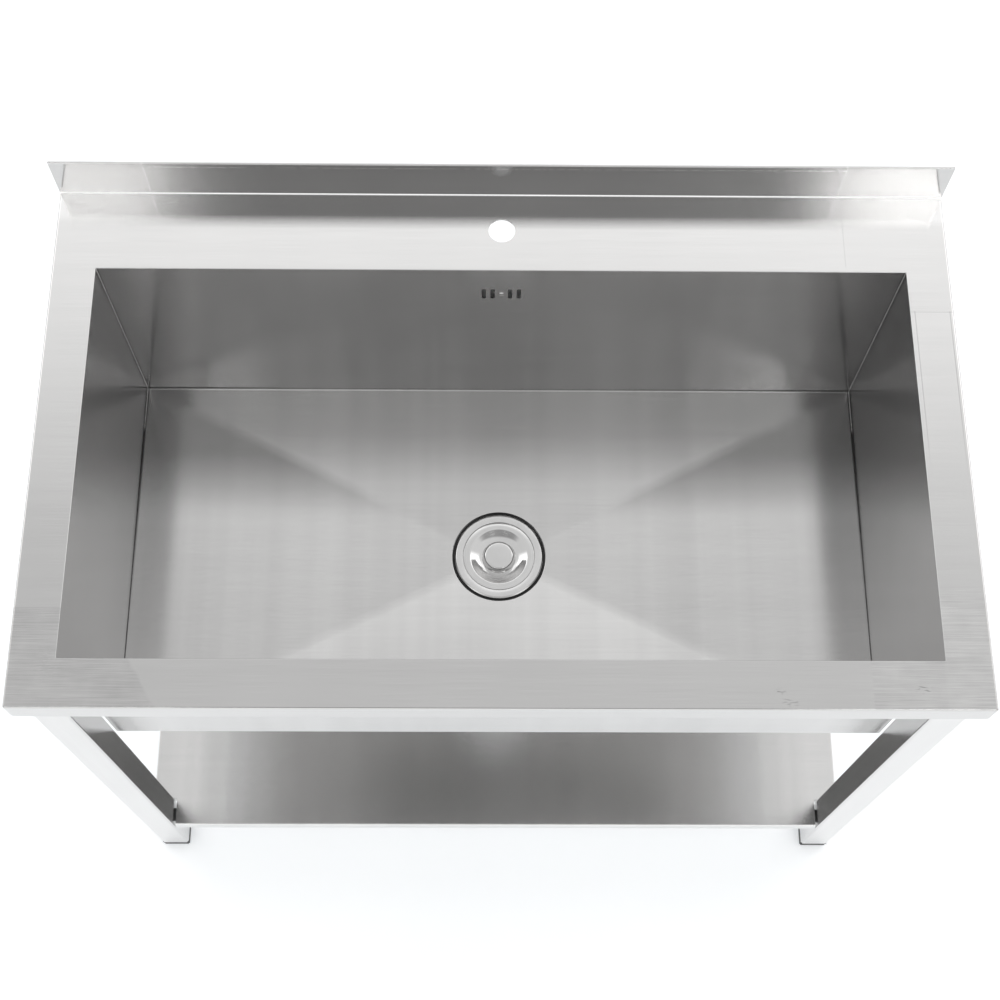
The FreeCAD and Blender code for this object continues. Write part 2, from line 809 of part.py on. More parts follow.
def make_shelf():
    """A tray with turned-down edges, notched round the legs and returned inwards below."""
    body = new_body("shelf")
    pad(body, shelf_outline(body, "shelf_foot", "0"), "shelf_lip")
    round_edges(
        body,
        "shelf_bend",
        {"x": "-shelf_half", "z": "shelf_height"},
        {"x": "shelf_half", "z": "shelf_height"},
        {"y": "-shelf_end", "z": "shelf_height"},
        {"y": "shelf_end", "z": "shelf_height"},
    )
    mouth = shelf_outline(body, "shelf_foot", "shelf_return")
    pocket(body, mouth, "shelf_sheet", upwards=True)
    hollow = shelf_outline(body, "shelf_foot + shelf_sheet", "shelf_sheet")
    pocket(body, hollow, "shelf_lip - 2 * shelf_sheet", upwards=True)
    for end in (-1, 1):
        side = new_sketch(body, "YZ_Plane", "notch_x + shelf_sheet")
        hole = circle(side, (f"{end} * leg_y", "bolt_level"), "screw_hole")
        pocket(body, hole, "2 * notch_x + 2 * shelf_sheet")
    return body


def make_shelf_stiffener():
    """A hat channel welded along the middle of the shelf's underside."""
    body = new_body("shelf_stiffener")
    web = "stiffener_width / 2 - stiffener_flange"
    inside = f"{web} - shelf_sheet"
    low = "shelf_foot + shelf_sheet"
    corners = [
        ("-stiffener_width / 2", "shelf_under"),
        ("-stiffener_width / 2", "shelf_under - shelf_sheet"),
        (f"-({web})", "shelf_under - shelf_sheet"),
        (f"-({web})", low),
        (web, low),
        (web, "shelf_under - shelf_sheet"),
        ("stiffener_width / 2", "shelf_under - shelf_sheet"),
        ("stiffener_width / 2", "shelf_under"),
        (inside, "shelf_under"),
        (inside, f"{low} + shelf_sheet"),
        (f"-({inside})", f"{low} + shelf_sheet"),
        (f"-({inside})", "shelf_under"),
    ]
    pad(body, outline(new_sketch(body, "YZ_Plane", "-stiffener_half"), corners), "2 * stiffener_half")
    return body


# Screws, nuts and spacers, each kind a group with one at every leg


def towards_middle(corner):
    """The direction along X from a leg to the middle of the sink."""
    return Vector(-CORNERS[corner][0], 0, 0)


def from_leg(corner, distance, level):
    """A point on a leg's middle plane, at a distance from its axis towards the middle."""
    side, end = CORNERS[corner]
    return f"{side} * (leg_x - ({distance}))", f"{end} * leg_y", level


def make_screw(name, corner, level, seat, length):
    """A button-head screw whose head sits on a face at the given distance from the leg's axis."""
    inwards = towards_middle(corner)
    head = cylinder(f"{name}_head", "head_radius", "head_height", from_leg(corner, seat, level), inwards)
    start = from_leg(corner, f"{seat} - ({length})", level)
    shank = cylinder(f"{name}_shank", "leg_screw_radius", f"({length}) + head_height / 2", start, inwards)
    key = doc.addObject("Part::Prism", f"{name}_key")
    key.Polygon = 6
    key.Placement = Placement(Vector(), Rotation(Vector(0, 0, 1), inwards))
    top = from_leg(corner, f"{seat} + head_height - key_depth", level)
    bind(key, Circumradius="key_width / sqrt(3)", Height="2 * key_depth")
    bind(key, place_x=top[0], place_y=top[1], place_z=top[2])
    return cut(name, join(f"{name}_solid", head, shank), key)


def make_nut(name, corner, level, face):
    """A hexagon nut whose face towards the middle lies at a distance from the leg's axis."""
    inwards = towards_middle(corner)
    start = from_leg(corner, f"{face} - nut_height", level)
    hexagon = doc.addObject("Part::Prism", f"{name}_hexagon")
    hexagon.Polygon = 6
    hexagon.Placement = Placement(Vector(), Rotation(Vector(0, 0, 1), inwards))
    bind(hexagon, Circumradius="nut_width / sqrt(3)", Height="nut_height")
    bind(hexagon, place_x=start[0], place_y=start[1], place_z=start[2])
    bore = cylinder(f"{name}_bore", "leg_screw_radius + nut_play", "nut_height", start, inwards)
    return cut(name, hexagon, bore)


def make_rivet_nut(name, corner):
    """A flanged rivet nut in the leg's wall."""
    inwards = towards_middle(corner)
    face = from_leg(corner, "leg_width / 2", "bolt_level")
    flange = cylinder(f"{name}_flange", "rivet_nut_flange", "rivet_nut_sheet", face, inwards)
    start = from_leg(corner, "leg_width / 2 + rivet_nut_sheet - rivet_nut_length", "bolt_level")
    shank = cylinder(f"{name}_shank", "rivet_nut_radius", "rivet_nut_length", start, inwards)
    bore = cylinder(f"{name}_bore", "leg_screw_radius + nut_play", "rivet_nut_length", start, inwards)
    return cut(name, join(f"{name}_solid", flange, shank), bore)


def make_spacer(name, corner):
    """A black spacer that fills the gap between a leg and the shelf."""
    inwards = towards_middle(corner)
    start = from_leg(corner, "leg_width / 2", "bolt_level")
    ring = cylinder(f"{name}_ring", "spacer_radius", "shelf_leg_gap", start, inwards)
    bore = cylinder(f"{name}_bore", "rivet_nut_flange + screw_play", "shelf_leg_gap", start, inwards)
    return cut(name, ring, bore)


def make_fasteners():
    """The screws of the legs and the shelf with their nuts and spacers."""
    nut_face = "socket_width / 2 - socket_wall"
    screw_length = f"leg_width / 2 - ({nut_face}) + nut_height + screw_tip"
    bolt_seat = "leg_width / 2 + shelf_leg_gap + shelf_sheet"
    bolt_length = "shelf_leg_gap + shelf_sheet + rivet_nut_length"
    makers = {
        "leg_screws": lambda name, at: make_screw(name, at, "screw_level", "leg_width / 2", screw_length),
        "leg_nuts": lambda name, at: make_nut(name, at, "screw_level", nut_face),
        "shelf_bolts": lambda name, at: make_screw(name, at, "bolt_level", bolt_seat, bolt_length),
        "rivet_nuts": make_rivet_nut,
        "shelf_spacers": make_spacer,
    }
    for node, make in makers.items():
        group(node, [make(f"{node}_{corner}", corner) for corner in CORNERS])


# Waste. Each piece is modelled about the waste's axis, up from the recess floor.


def at_waste(body):
    """Place a body on the waste's axis, at the recess floor."""
    return bind(body, place_y="bowl_middle", place_z="recess_floor")


def make_strainer_cup():
    """The steel strainer cup with its flange, ledge and threaded wall."""
    body = at_waste(new_body("strainer_cup"))
    revolve(
        body,
        [
            ("flange_radius", "upper_gasket_sheet"),
            ("flange_radius", "upper_gasket_sheet + flange_edge"),
            ("flange_radius - 2 * flange_edge", "flange_rise"),
            ("lid_opening", "flange_rise"),
            ("lid_opening", "lid_seat"),
            ("cup_radius", "lid_seat"),
            ("cup_radius", "cup_floor"),
            ("cup_hole_radius", "cup_floor"),
            ("cup_hole_radius", "cup_floor - cup_sheet"),
            ("cup_outside", "cup_floor - cup_sheet"),
            ("cup_outside", "lid_seat - flange_sheet"),
            ("throat", "lid_seat - flange_sheet"),
            ("throat", "flange_rise - flange_sheet"),
            ("flange_radius - 2 * flange_edge", "flange_rise - flange_sheet"),
            ("flange_radius - flange_edge", "upper_gasket_sheet"),
        ],
    )
    return body


def make_upper_gasket():
    """The black ring under the flange, seen all round it."""
    body = at_waste(new_body("waste_gasket_upper"))
    inside = "throat + gasket_edge"
    revolve(
        body,
        [
            (inside, "0"),
            ("recess_radius - gasket_edge", "0"),
            ("recess_radius - gasket_edge", "upper_gasket_sheet"),
            ("flange_radius - flange_edge - gasket_edge", "upper_gasket_sheet"),
            ("flange_radius - 2 * flange_edge - gasket_edge", "flange_rise - flange_sheet"),
            (inside, "flange_rise - flange_sheet"),
        ],
    )
    return body


def make_lower_gasket():
    """The rubber washer between the bowl and the waste body."""
    body = at_waste(new_body("waste_gasket_lower"))
    outside = "collar_bore + body_collar_wall - 2 * gasket_edge"
    inside = "collar_bore + gasket_edge"
    under = "-bowl_sheet"
    revolve(body, [(inside, "collar_top"), (outside, "collar_top"), (outside, under), (inside, under)])
    return body


def make_waste_body():
    """The plastic body screwed up under the bowl, with the outlet and the overflow's spigot."""
    collar = drum("collar", "collar_bore + body_collar_wall", "collar_foot", "collar_top")
    chamber = drum("chamber", "chamber_bore + body_wall", "chamber_foot", "collar_foot")
    taper_foot = "chamber_foot - body_cone"
    taper = cone("taper", "outlet_radius", "chamber_bore + body_wall", taper_foot, "chamber_foot")
    outlet = drum("outlet", "outlet_radius", "outlet_foot", "chamber_foot")
    back = Vector(0, 1, 0)
    axis = ("0", "0", "spigot_level")
    spigot = cylinder("body_spigot", "spigot_radius", "body_spigot_end", axis, back)
    solid = join("waste_body_solid", collar, chamber, taper, outlet, spigot)
    seat = ("0", "body_spigot_end - pipe_in_spigot", "spigot_level")
    tools = (
        drum("collar_bore", "collar_bore", "collar_foot", "collar_top"),
        drum("chamber_bore", "chamber_bore", "chamber_foot", "collar_foot"),
        cone("funnel", "outlet_bore", "chamber_bore", f"{taper_foot} + body_wall", "chamber_foot"),
        drum("outlet_bore", "outlet_bore", "outlet_foot", "chamber_foot"),
        cylinder("body_socket", "spigot_bore", "pipe_in_spigot", seat, back),
        cylinder("body_passage", "pipe_radius - pipe_wall", "body_spigot_end", axis, back),
    )
    return at_waste(keep(cut("waste_body", solid, *tools), "waste_body"))


def drum(name, radius, low, high):
    """An upright cylinder about the Z axis between two levels."""
    return cylinder(name, radius, f"({high}) - ({low})", ("0", "0", low))


def make_strainer_basket():
    """The lift-out basket, drilled round its wall and over its floor."""
    body = at_waste(new_body("strainer_basket"))
    top = "lid_seat + basket_rim_sheet"
    skin = "basket_rim_sheet"
    revolve(
        body,
        [
            ("lid_radius", "lid_seat"),
            ("lid_radius", top),
            (f"basket_top_radius - {skin}", top),
            (f"basket_low_radius - {skin}", f"basket_foot + {skin}"),
            ("post_radius", f"basket_foot + {skin}"),
            ("post_radius", "basket_foot"),
            ("basket_low_radius", "basket_foot"),
            ("basket_top_radius", "lid_seat"),
        ],
    )
    for ring, count in BASKET_RINGS.items():
        floor = new_sketch(body, "XY_Plane", f"basket_foot + 2 * {skin}")
        middle = (f"basket_low_radius - {ring} * basket_ring_step", "0")
        hole = pocket(body, circle(floor, middle, "basket_hole_radius"), f"3 * {skin}")
        repeat_round(body, hole, count)
    wall = rectangle(
        new_sketch(body, "XZ_Plane", "basket_low_radius - basket_ring_step"),
        around("0", "basket_slot_width / 2"),
        around("lid_seat - basket_depth / 2", "basket_slot_height / 2"),
    )
    slot = pocket(body, wall, "basket_taper + 2 * basket_ring_step", upwards=True)
    repeat_round(body, slot, BASKET_SLOTS)
    return body


def make_basket_post():
    """The stem through the basket, with a finger knob above and a plate for the seal below."""
    body = at_waste(new_body("basket_post"))
    revolve(
        body,
        [
            ("0", "cup_floor"),
            ("post_radius", "cup_floor"),
            ("post_radius", "post_top - post_knob_height"),
            ("post_knob_radius", "post_top - post_knob_height"),
            ("post_knob_radius", "post_top"),
            ("0", "post_top"),
        ],
    )
    round_edges(body, "post_knob_height / 3", {"z": "post_top"})
    return body


def make_basket_seal():
    """The rubber stopper on the stem, which covers the cup's hole."""
    body = at_waste(new_body("basket_seal"))
    revolve(
        body,
        [
            ("post_radius", "cup_floor"),
            ("seal_radius", "cup_floor"),
            ("seal_radius", "cup_floor + seal_sheet"),
            ("2 * post_radius", "cup_floor + seal_sheet"),
            ("2 * post_radius", "basket_foot"),
            ("post_radius", "basket_foot"),
        ],
    )
    return body


def make_lid():
    """The dished lid with its raised knob, pressed from one disc."""
    body = at_waste(new_body("waste_lid"))
    dish = "lid_radius - lid_rim"
    low = "lid_top - lid_dish_depth"
    top = "lid_top + knob_rise"
    skin = "lid_sheet"
    revolve(
        body,
        [
            ("lid_radius", f"lid_top - {skin}"),
            ("lid_radius", "lid_top"),
            (dish, "lid_top"),
            (f"{dish} - lid_slope", low),
            (f"knob_radius + {skin}", low),
            ("knob_radius", f"{top} - knob_shoulder"),
            ("knob_radius - knob_shoulder", top),
            ("0", top),
            ("0", f"{top} - {skin}"),
            (f"knob_radius - knob_shoulder - {skin} / 2", f"{top} - {skin}"),
            (f"knob_radius - {skin}", f"{top} - knob_shoulder - {skin} / 2"),
            ("knob_radius", f"{low} - {skin}"),
            (f"{dish} - lid_slope - {skin} / 2", f"{low} - {skin}"),
            (f"{dish} - {skin} / 2", f"lid_top - {skin}"),
        ],
    )
    return body


# Overflow


def overflow_block(name, inset, along):
    """A block of the overflow box's length and height, less an inset all round."""
    across = around("0", f"overflow_box_length / 2 - ({inset})")
    return box(name, across, along, around("slot_level", f"overflow_box_height / 2 - ({inset})"))


def make_overflow_gasket():
    """The flat gasket between the rear wall and the overflow box."""
    along = ("wall_back", "box_front")
    outer = overflow_block("gasket_plate", "0", along)
    window = overflow_block("gasket_window", "2 * overflow_wall", along)
    return keep(cut("overflow_gasket", outer, window), "overflow_gasket")


def make_overflow_box():
    """The plastic box behind the slots, with a screw boss inside and a spigot below."""
    back = Vector(0, 1, 0)
    spigot_start = ("0", "pipe_y", "box_spigot_foot")
    boss_start = ("0", "wall_back", "slot_level")
    outer = overflow_block("box_outer", "0", ("box_front", "box_back"))
    inner = overflow_block("box_inner", "overflow_wall", ("box_front", "box_back - overflow_wall"))
    spigot = cylinder("box_spigot", "spigot_radius", "spigot_length + overflow_wall", spigot_start)
    shell = cut("box_shell", join("box_body", outer, spigot), inner)
    boss = cylinder("box_boss", "2 * overflow_screw_radius", "box_back - wall_back", boss_start, back)
    passage_length = "spigot_length + 2 * overflow_wall"
    passage = cylinder("box_passage", "pipe_radius - pipe_wall", passage_length, spigot_start)
    socket = cylinder("box_socket", "spigot_bore", "pipe_in_spigot", spigot_start)
    pilot = cylinder("box_pilot", "overflow_screw_radius + nut_play", "overflow_grip", boss_start, back)
    solid = join("box_solid", shell, boss)
    return keep(cut("overflow_box", solid, passage, socket, pilot), "overflow_box")


def make_overflow_screw():
    """The screw between the slots, which holds the box against the wall."""
    back = Vector(0, 1, 0)
    front = ("0", "bowl_back - overflow_head_height", "slot_level")
    seat = ("0", "bowl_back", "slot_level")
    head = cylinder("overflow_head", "overflow_head_radius", "overflow_head_height", front, back)
    shank = cylinder("overflow_shank", "overflow_screw_radius", "overflow_grip", seat, back)
    return keep(join("overflow_screw", head, shank), "overflow_screw")


def make_overflow_pipe():
    """The rigid pipe from the overflow box down behind the bowl and forward to the waste."""
    outer = pipe_run("pipe_outer", "pipe_radius")
    inner = pipe_run("pipe_inner", "pipe_radius - pipe_wall")
    return keep(cut("overflow_pipe", outer, inner), "overflow_pipe")


def pipe_run(name, radius):
    """A straight drop, a quarter bend and a straight run forward, of one radius."""
    forward = Vector(0, -1, 0)
    bend_top = ("0", "pipe_y", "pipe_low + pipe_bend")
    bend_foot = ("0", "pipe_y - pipe_bend", "pipe_low")
    drop = cylinder(f"{name}_drop", radius, "pipe_top - pipe_low - pipe_bend", bend_top)
    run = cylinder(f"{name}_run", radius, "pipe_y - pipe_bend - pipe_front", bend_foot, forward)
    bend = doc.addObject("Part::Torus", f"{name}_bend")
    bend.Angle3 = 90
    bend.Placement = Placement(Vector(), Rotation(Vector(0, 0, -1), Vector(0, 1, 0), Vector(1, 0, 0), "XYZ"))
    bind(bend, Radius1="pipe_bend", Radius2=radius)
    bind(bend, place_y="pipe_y - pipe_bend", place_z="pipe_low + pipe_bend")
    return join(name, drop, run, bend)


def make_pipe_nut(node):
    """A cap nut over the end of a spigot, with its opening along +Z."""
    body = new_body(node)
    revolve(
        body,
        [
            ("nut_bore", "0"),
            ("nut_radius", "0"),
            ("nut_radius", "pipe_nut_height"),
            ("pipe_radius + gasket_edge", "pipe_nut_height"),
            ("pipe_radius + gasket_edge", "pipe_nut_height - pipe_nut_lip"),
            ("nut_bore", "pipe_nut_height - pipe_nut_lip"),
        ],
    )
    return body


def make_pipe_cone(node):
    """The rubber cone squeezed between a nut and its spigot."""
    body = new_body(node)
    low = "pipe_nut_height - pipe_nut_lip - cone_height"
    revolve(
        body,
        [
            ("pipe_radius", low),
            ("spigot_radius", low),
            ("spigot_radius", f"{low} + cone_height"),
            ("pipe_radius", f"{low} + cone_height"),
        ],
    )
    return body


def place_pipe_ends():
    """Put a nut and a cone at each end of the pipe."""
    covered = "pipe_nut_height - pipe_nut_lip - cone_height"
    for make, node in ((make_pipe_nut, "overflow_nut"), (make_pipe_cone, "overflow_cone")):
        upper = make(f"{node}_upper")
        upper.Placement = Placement(Vector(), Rotation(Vector(1, 0, 0), 180))
        bind(upper, place_y="pipe_y", place_z=f"box_spigot_foot + {covered}")
        lower = make(f"{node}_lower")
        lower.Placement = Placement(Vector(), Rotation(Vector(1, 0, 0), -90))
        bind(lower, place_y=f"bowl_middle + body_spigot_end - ({covered})", place_z="pipe_low")


def check(items):
    """Stop if any object failed, or if a sub-part has no valid shape."""
    for item in doc.Objects:
        assert "Invalid" not in item.State and "Error" not in item.State, f"{item.Name} failed: {item.State}"
    for item in items:
        assert not item.Shape.isNull() and item.Shape.isValid(), f"{item.Label} is not a valid shape"
        assert item.Shape.Volume > 0 and item.Shape.Solids, f"{item.Label} has no solid"


def main():
    """Model every sub-part, check it and write it out."""
    fill_sheet()
    make_sink_top()
    make_rear_rail()
    make_tap_plate()
    make_bowl_wrap()
    make_bowl_end("bowl_end_left", -1)
    make_bowl_end("bowl_end_right", 1)
    for corner in CORNERS:
        make_leg_socket(corner)
        make_leg(corner)
        make_foot_insert(corner)
        make_foot_pad(corner)
        make_foot_stud(corner)
    make_shelf()
    make_shelf_stiffener()
    make_fasteners()
    make_strainer_cup()
    make_upper_gasket()
    make_lower_gasket()
    make_waste_body()
    make_strainer_basket()
    make_basket_post()
    make_basket_seal()
    make_lid()
    make_overflow_gasket()
    make_overflow_box()
    make_overflow_screw()
    make_overflow_pipe()
    place_pipe_ends()
    doc.recompute()
    check(nodes)
    os.makedirs("parts", exist_ok=True)
    for item in nodes:
        item.Shape.exportStep(f"parts/{item.Label}.step")
        print(item.Label, len(item.Shape.Solids), "solid(s)")


main()
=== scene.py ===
import json
from contextlib import contextmanager
from math import atan2, cos, hypot, pi, radians, sin, tau

import bmesh
import bpy
from mathutils import Matrix, Vector


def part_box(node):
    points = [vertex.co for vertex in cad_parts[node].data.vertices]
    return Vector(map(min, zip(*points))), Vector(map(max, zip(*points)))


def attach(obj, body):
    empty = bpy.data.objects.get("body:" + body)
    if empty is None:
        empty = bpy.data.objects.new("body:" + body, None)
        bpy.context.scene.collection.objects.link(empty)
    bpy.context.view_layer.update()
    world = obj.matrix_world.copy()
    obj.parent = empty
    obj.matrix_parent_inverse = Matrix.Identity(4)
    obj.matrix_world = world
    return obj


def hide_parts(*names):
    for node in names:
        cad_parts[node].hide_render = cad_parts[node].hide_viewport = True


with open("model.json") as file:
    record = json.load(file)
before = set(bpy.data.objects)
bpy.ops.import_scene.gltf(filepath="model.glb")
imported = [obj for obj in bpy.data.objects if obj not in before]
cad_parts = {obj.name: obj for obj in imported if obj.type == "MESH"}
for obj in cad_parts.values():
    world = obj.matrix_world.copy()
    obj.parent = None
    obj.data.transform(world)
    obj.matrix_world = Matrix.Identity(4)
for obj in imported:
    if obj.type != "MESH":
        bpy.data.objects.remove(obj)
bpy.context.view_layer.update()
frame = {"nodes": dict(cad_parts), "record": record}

# Utility laundry sink. Metres, +X to the right, +Y to the upstand, +Z up, the floor at 0.

MM = 0.001


def low(node):
    """A node's lowest corner."""
    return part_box(node)[0]


def high(node):
    """A node's highest corner."""
    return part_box(node)[1]


# Places read from the frame

CORNERS = ("front_left", "front_right", "rear_left", "rear_right")
SHEET = 1.2 * MM
TINY = 0.05 * MM
DECK_UNDER = high("bowl_wrap").z
DECK = DECK_UNDER + SHEET
BOWL_HALF = high("bowl_wrap").x
BOWL_FRONT = low("bowl_wrap").y + SHEET
BOWL_BACK = high("bowl_wrap").y - SHEET
BOWL_MIDDLE = (BOWL_FRONT + BOWL_BACK) / 2
FLOOR_EDGE = low("bowl_end_left").z + SHEET
FLOOR_BEND = 2.5 * MM
RECESS_FLOOR = low("waste_gasket_upper").z
RECESS = high("waste_gasket_upper").x + 0.1 * MM
FLOOR_FALL = FLOOR_EDGE - RECESS_FLOOR - SHEET
WASTE = Vector((0, BOWL_MIDDLE, RECESS_FLOOR))
WASTE_HOLE = high("strainer_cup").x - 8.9 * MM
SLOT_LEVEL = (low("overflow_screw").z + high("overflow_screw").z) / 2
SLOT_PITCH = 10 * MM
SLOT_HALF = Vector((2.5, 4, 10.5)) * MM


# Studio

CAMERA_PLACE = Vector((-18.947, -709.381, 2452.956)) * MM
CAMERA_DOWN = 1.1956707
CAMERA_TURN = 0.0266936
CAMERA_ROLL = 0.0290978
CAMERA_LENS = 59.336


def make_camera():
    """The camera, aimed as the photograph was taken."""
    data = bpy.data.cameras.new("camera")
    data.lens = CAMERA_LENS
    data.sensor_width = 36
    data.clip_end = 50
    ahead = Vector((
        sin(CAMERA_TURN) * cos(CAMERA_DOWN),
        cos(CAMERA_TURN) * cos(CAMERA_DOWN),
        -sin(CAMERA_DOWN),
    ))
    level = Vector((cos(CAMERA_TURN), -sin(CAMERA_TURN), 0))
    upright = level.cross(ahead)
    right = level * cos(CAMERA_ROLL) + upright * sin(CAMERA_ROLL)
    up = upright * cos(CAMERA_ROLL) - level * sin(CAMERA_ROLL)
    camera = bpy.data.objects.new("camera", data)
    aim = Matrix((right, up, -ahead)).transposed().to_4x4()
    camera.matrix_world = Matrix.Translation(CAMERA_PLACE) @ aim
    bpy.context.scene.collection.objects.link(camera)
    bpy.context.scene.camera = camera


# Shader values


class Field:
    """A value over a surface. Arithmetic on it adds Math nodes."""

    def __init__(self, tree, socket=None):
        self.tree = tree
        self.socket = socket

    def node(self, kind, settings=None, inputs=None, output=0):
        """Add a node: its settings first, then the values or links of its sockets."""
        new = self.tree.nodes.new(kind)
        for name, value in (settings or {}).items():
            if name == "stops":
                set_stops(new.color_ramp, value)
            else:
                setattr(new, name, value)
        for name, value in (inputs or {}).items():
            if isinstance(value, Field):
                self.tree.links.new(value.socket, new.inputs[name])
            else:
                new.inputs[name].default_value = value
        return Field(self.tree, new.outputs[output] if new.outputs else None)

    def math(self, operation, *values):
        """A Math node on this value and others."""
        inputs = dict(enumerate((self, *values)))
        return self.node("ShaderNodeMath", {"operation": operation}, inputs)

    def __add__(self, other):
        return self.math("ADD", other)

    __radd__ = __add__

    def __sub__(self, other):
        return self.math("SUBTRACT", other)

    def __rsub__(self, other):
        return self.node("ShaderNodeMath", {"operation": "SUBTRACT"}, {0: other, 1: self})

    def __mul__(self, other):
        return self.math("MULTIPLY", other)

    __rmul__ = __mul__

    def __truediv__(self, other):
        return self.math("DIVIDE", other)

    def __abs__(self):
        return self.math("ABSOLUTE")

    def step(self, start, end):
        """0 below start, 1 above end, smooth between; the other way round if start is the larger."""
        settings = {"interpolation_type": "SMOOTHSTEP"}
        lower, upper = sorted((start, end))
        inputs = {"Value": self, "From Min": lower, "From Max": upper}
        inputs |= {"To Min": float(start > end), "To Max": float(start <= end)}
        return self.node("ShaderNodeMapRange", settings, inputs)

    def near(self, centre, half, fade):
        """1 within half of a value, fading to 0."""
        return abs(self - centre).step(half + fade, half)

    def colours(self, *stops):
        """A colour for each value, from (place, colour) pairs."""
        return self.node("ShaderNodeValToRGB", {"stops": stops}, {"Fac": self})

    def vector(self, operation, *values, output=0, **scale):
        """A Vector Math node on this vector and others."""
        inputs = dict(enumerate((self, *values))) | scale
        return self.node("ShaderNodeVectorMath", {"operation": operation}, inputs, output)

    def noise(self, size, detail=2.0, output=0):
        """Noise over this place; size is (x, y, z) of its grain in metres."""
        inputs = {"Vector": self.vector("DIVIDE", size), "Scale": 1.0, "Detail": detail}
        return self.node("ShaderNodeTexNoise", {}, inputs, output)

    def part(self, axis):
        """One component of a vector."""
        return self.node("ShaderNodeSeparateXYZ", {}, {0: self}, "XYZ".index(axis))


def set_stops(ramp, stops):
    """Give a colour ramp its stops."""
    while len(ramp.elements) < len(stops):
        ramp.elements.new(1.0)
    for element, (place, colour) in zip(ramp.elements, stops):
        element.position = place
        element.color = colour


def grey(value, warmth=0.0):
    """A grey, a little warm or cool."""
    return (value * (1 + warmth), value, value * (1 - warmth), 1.0)


def new_material(name):
    """An empty material, and the place on its surface."""
    material = bpy.data.materials.new(name)
    material.use_nodes = True
    tree = material.node_tree
    tree.nodes.clear()
    place = Field(tree).node("ShaderNodeTexCoord", output=3)
    return material, place


def finish_material(place, inputs):
    """Join a Principled shader to the output."""
    shader = place.node("ShaderNodeBsdfPrincipled", {}, inputs)
    place.node("ShaderNodeOutputMaterial", {}, {"Surface": shader})


# Finishes


def brushed(name, grain, tone=0.60, rough=0.16, spread=0.05, lines=0.06, edge=1.0, marks_with_painted_light=None):
    """Satin stainless sheet, brushed along one axis. Its gloss is spread across the grain by mixing equal
    shaders that lean a little; the last argument gives how much lighter and rougher the sheet is where,
    from grinding and wear and from painted light and shade."""
    material, place = new_material(name)

    def drawn_out(length, width):
        return tuple(length if axis == grain else width for axis in "xyz")

    strands = place.noise(drawn_out(0.07, 0.0007), 3.0)
    bands = place.noise(drawn_out(1.2, 0.014))
    clouds = place.noise((0.15, 0.15, 0.15))
    shade = (strands - 0.5) * lines + (bands - 0.5) * (0.5 * lines) + (clouds - 0.5) * 0.05 + 0.5
    roughness = (strands - 0.5) * 0.06 + (clouds - 0.5) * 0.05 + rough
    # Grinding and wear, and painted light and shade, from the last argument.
    if marks_with_painted_light:
        lighter, rougher = marks_with_painted_light(place)
        shade = shade + lighter
        roughness = roughness + rougher
    colour = shade.colours((0.0, grey(0.0)), (1.0, grey(2 * tone, 0.006)))
    normal = place.node("ShaderNodeNewGeometry", output=1)
    sway = place.noise((0.35, 0.35, 0.35), 1.0, output=1).vector("SUBTRACT", (0.5, 0.5, 0.5))
    swayed = normal.vector("ADD", sway.vector("SCALE", Scale=0.012))
    across = normal.vector("CROSS_PRODUCT", tuple(float(axis == grain) for axis in "xyz"))
    sheen = None
    for count, lean in enumerate((-1, -0.5, 0, 0.5, 1), start=1):
        bent = swayed.vector("ADD", across.vector("SCALE", Scale=lean * spread)).vector("NORMALIZE")
        lobe = place.node("ShaderNodeBsdfPrincipled", {}, {
            "Base Color": colour, "Metallic": 1.0, "Roughness": roughness, "Normal": bent,
            "Specular Tint": grey(edge),
        })
        sheen = place.node("ShaderNodeMixShader", {}, {0: 1 / count, 1: sheen, 2: lobe}) if sheen else lobe
    place.node("ShaderNodeOutputMaterial", {}, {"Surface": sheen})
    return material


def plastic(name, tone, rough):
    """Moulded plastic or rubber with a fine texture."""
    material, place = new_material(name)
    grain = place.noise((0.0009, 0.0009, 0.0009), 4.0)
    clouds = place.noise((0.03, 0.03, 0.03))
    shade = (clouds - 0.5) * 0.2 + (grain - 0.5) * 0.2 + 0.5
    colour = shade.colours((0.3, grey(tone * 0.85)), (0.7, grey(tone * 1.1)))
    bump = place.node("ShaderNodeBump", {}, {"Height": grain, "Strength": 0.25, "Distance": 0.0002})
    finish_material(place, {
        "Base Color": colour, "Roughness": (clouds - 0.5) * 0.15 + rough, "Normal": bump,
    })
    return material


def turned_steel(name, tone, rough, rings):
    """Steel polished on a lathe about the waste's axis, with faint rings."""
    material, place = new_material(name)
    flat = place.vector("SUBTRACT", tuple(WASTE)).vector("MULTIPLY", (1, 1, 0))
    across = flat.vector("LENGTH", output=1) * (1 / rings)
    ring = flat.node("ShaderNodeCombineXYZ", {}, {"X": across, "Y": place.part("Z") * (1 / rings)})
    ripple = ring.node("ShaderNodeTexNoise", {}, {"Vector": ring, "Scale": 1.0, "Detail": 2.0})
    clouds = place.noise((0.02, 0.02, 0.02))
    shade = (ripple - 0.5) * 0.10 + (clouds - 0.5) * 0.06 + 0.5
    colour = shade.colours((0.0, grey(0.0)), (1.0, grey(2 * tone, 0.004)))
    roughness = (ripple - 0.5) * 0.08 + (clouds - 0.5) * 0.06 + rough
    finish_material(place, {"Base Color": colour, "Metallic": 1.0, "Roughness": roughness})
    return material


# Edges of the marks on the top, in millimetres: across is x, along is y.

LEFT_GROUND_ALONG = -195
LEFT_GROUND_SLANT = -541
RIGHT_GROUND_ACROSS = 375
RIGHT_GROUND_ALONG = -247
STRIP_ACROSS = 449.5
STRIP_ALONG = 151
STRIP_LINES = (456.2, 495)
JOINT_ACROSS = 384
JOINT_ALONG = 204
SCUFF = (-458, -252)
UPSTAND_FACE = 296
FOLD_LEVEL = 893.5
FOLD_LEFT = -396
FOLD_RIGHT = 381

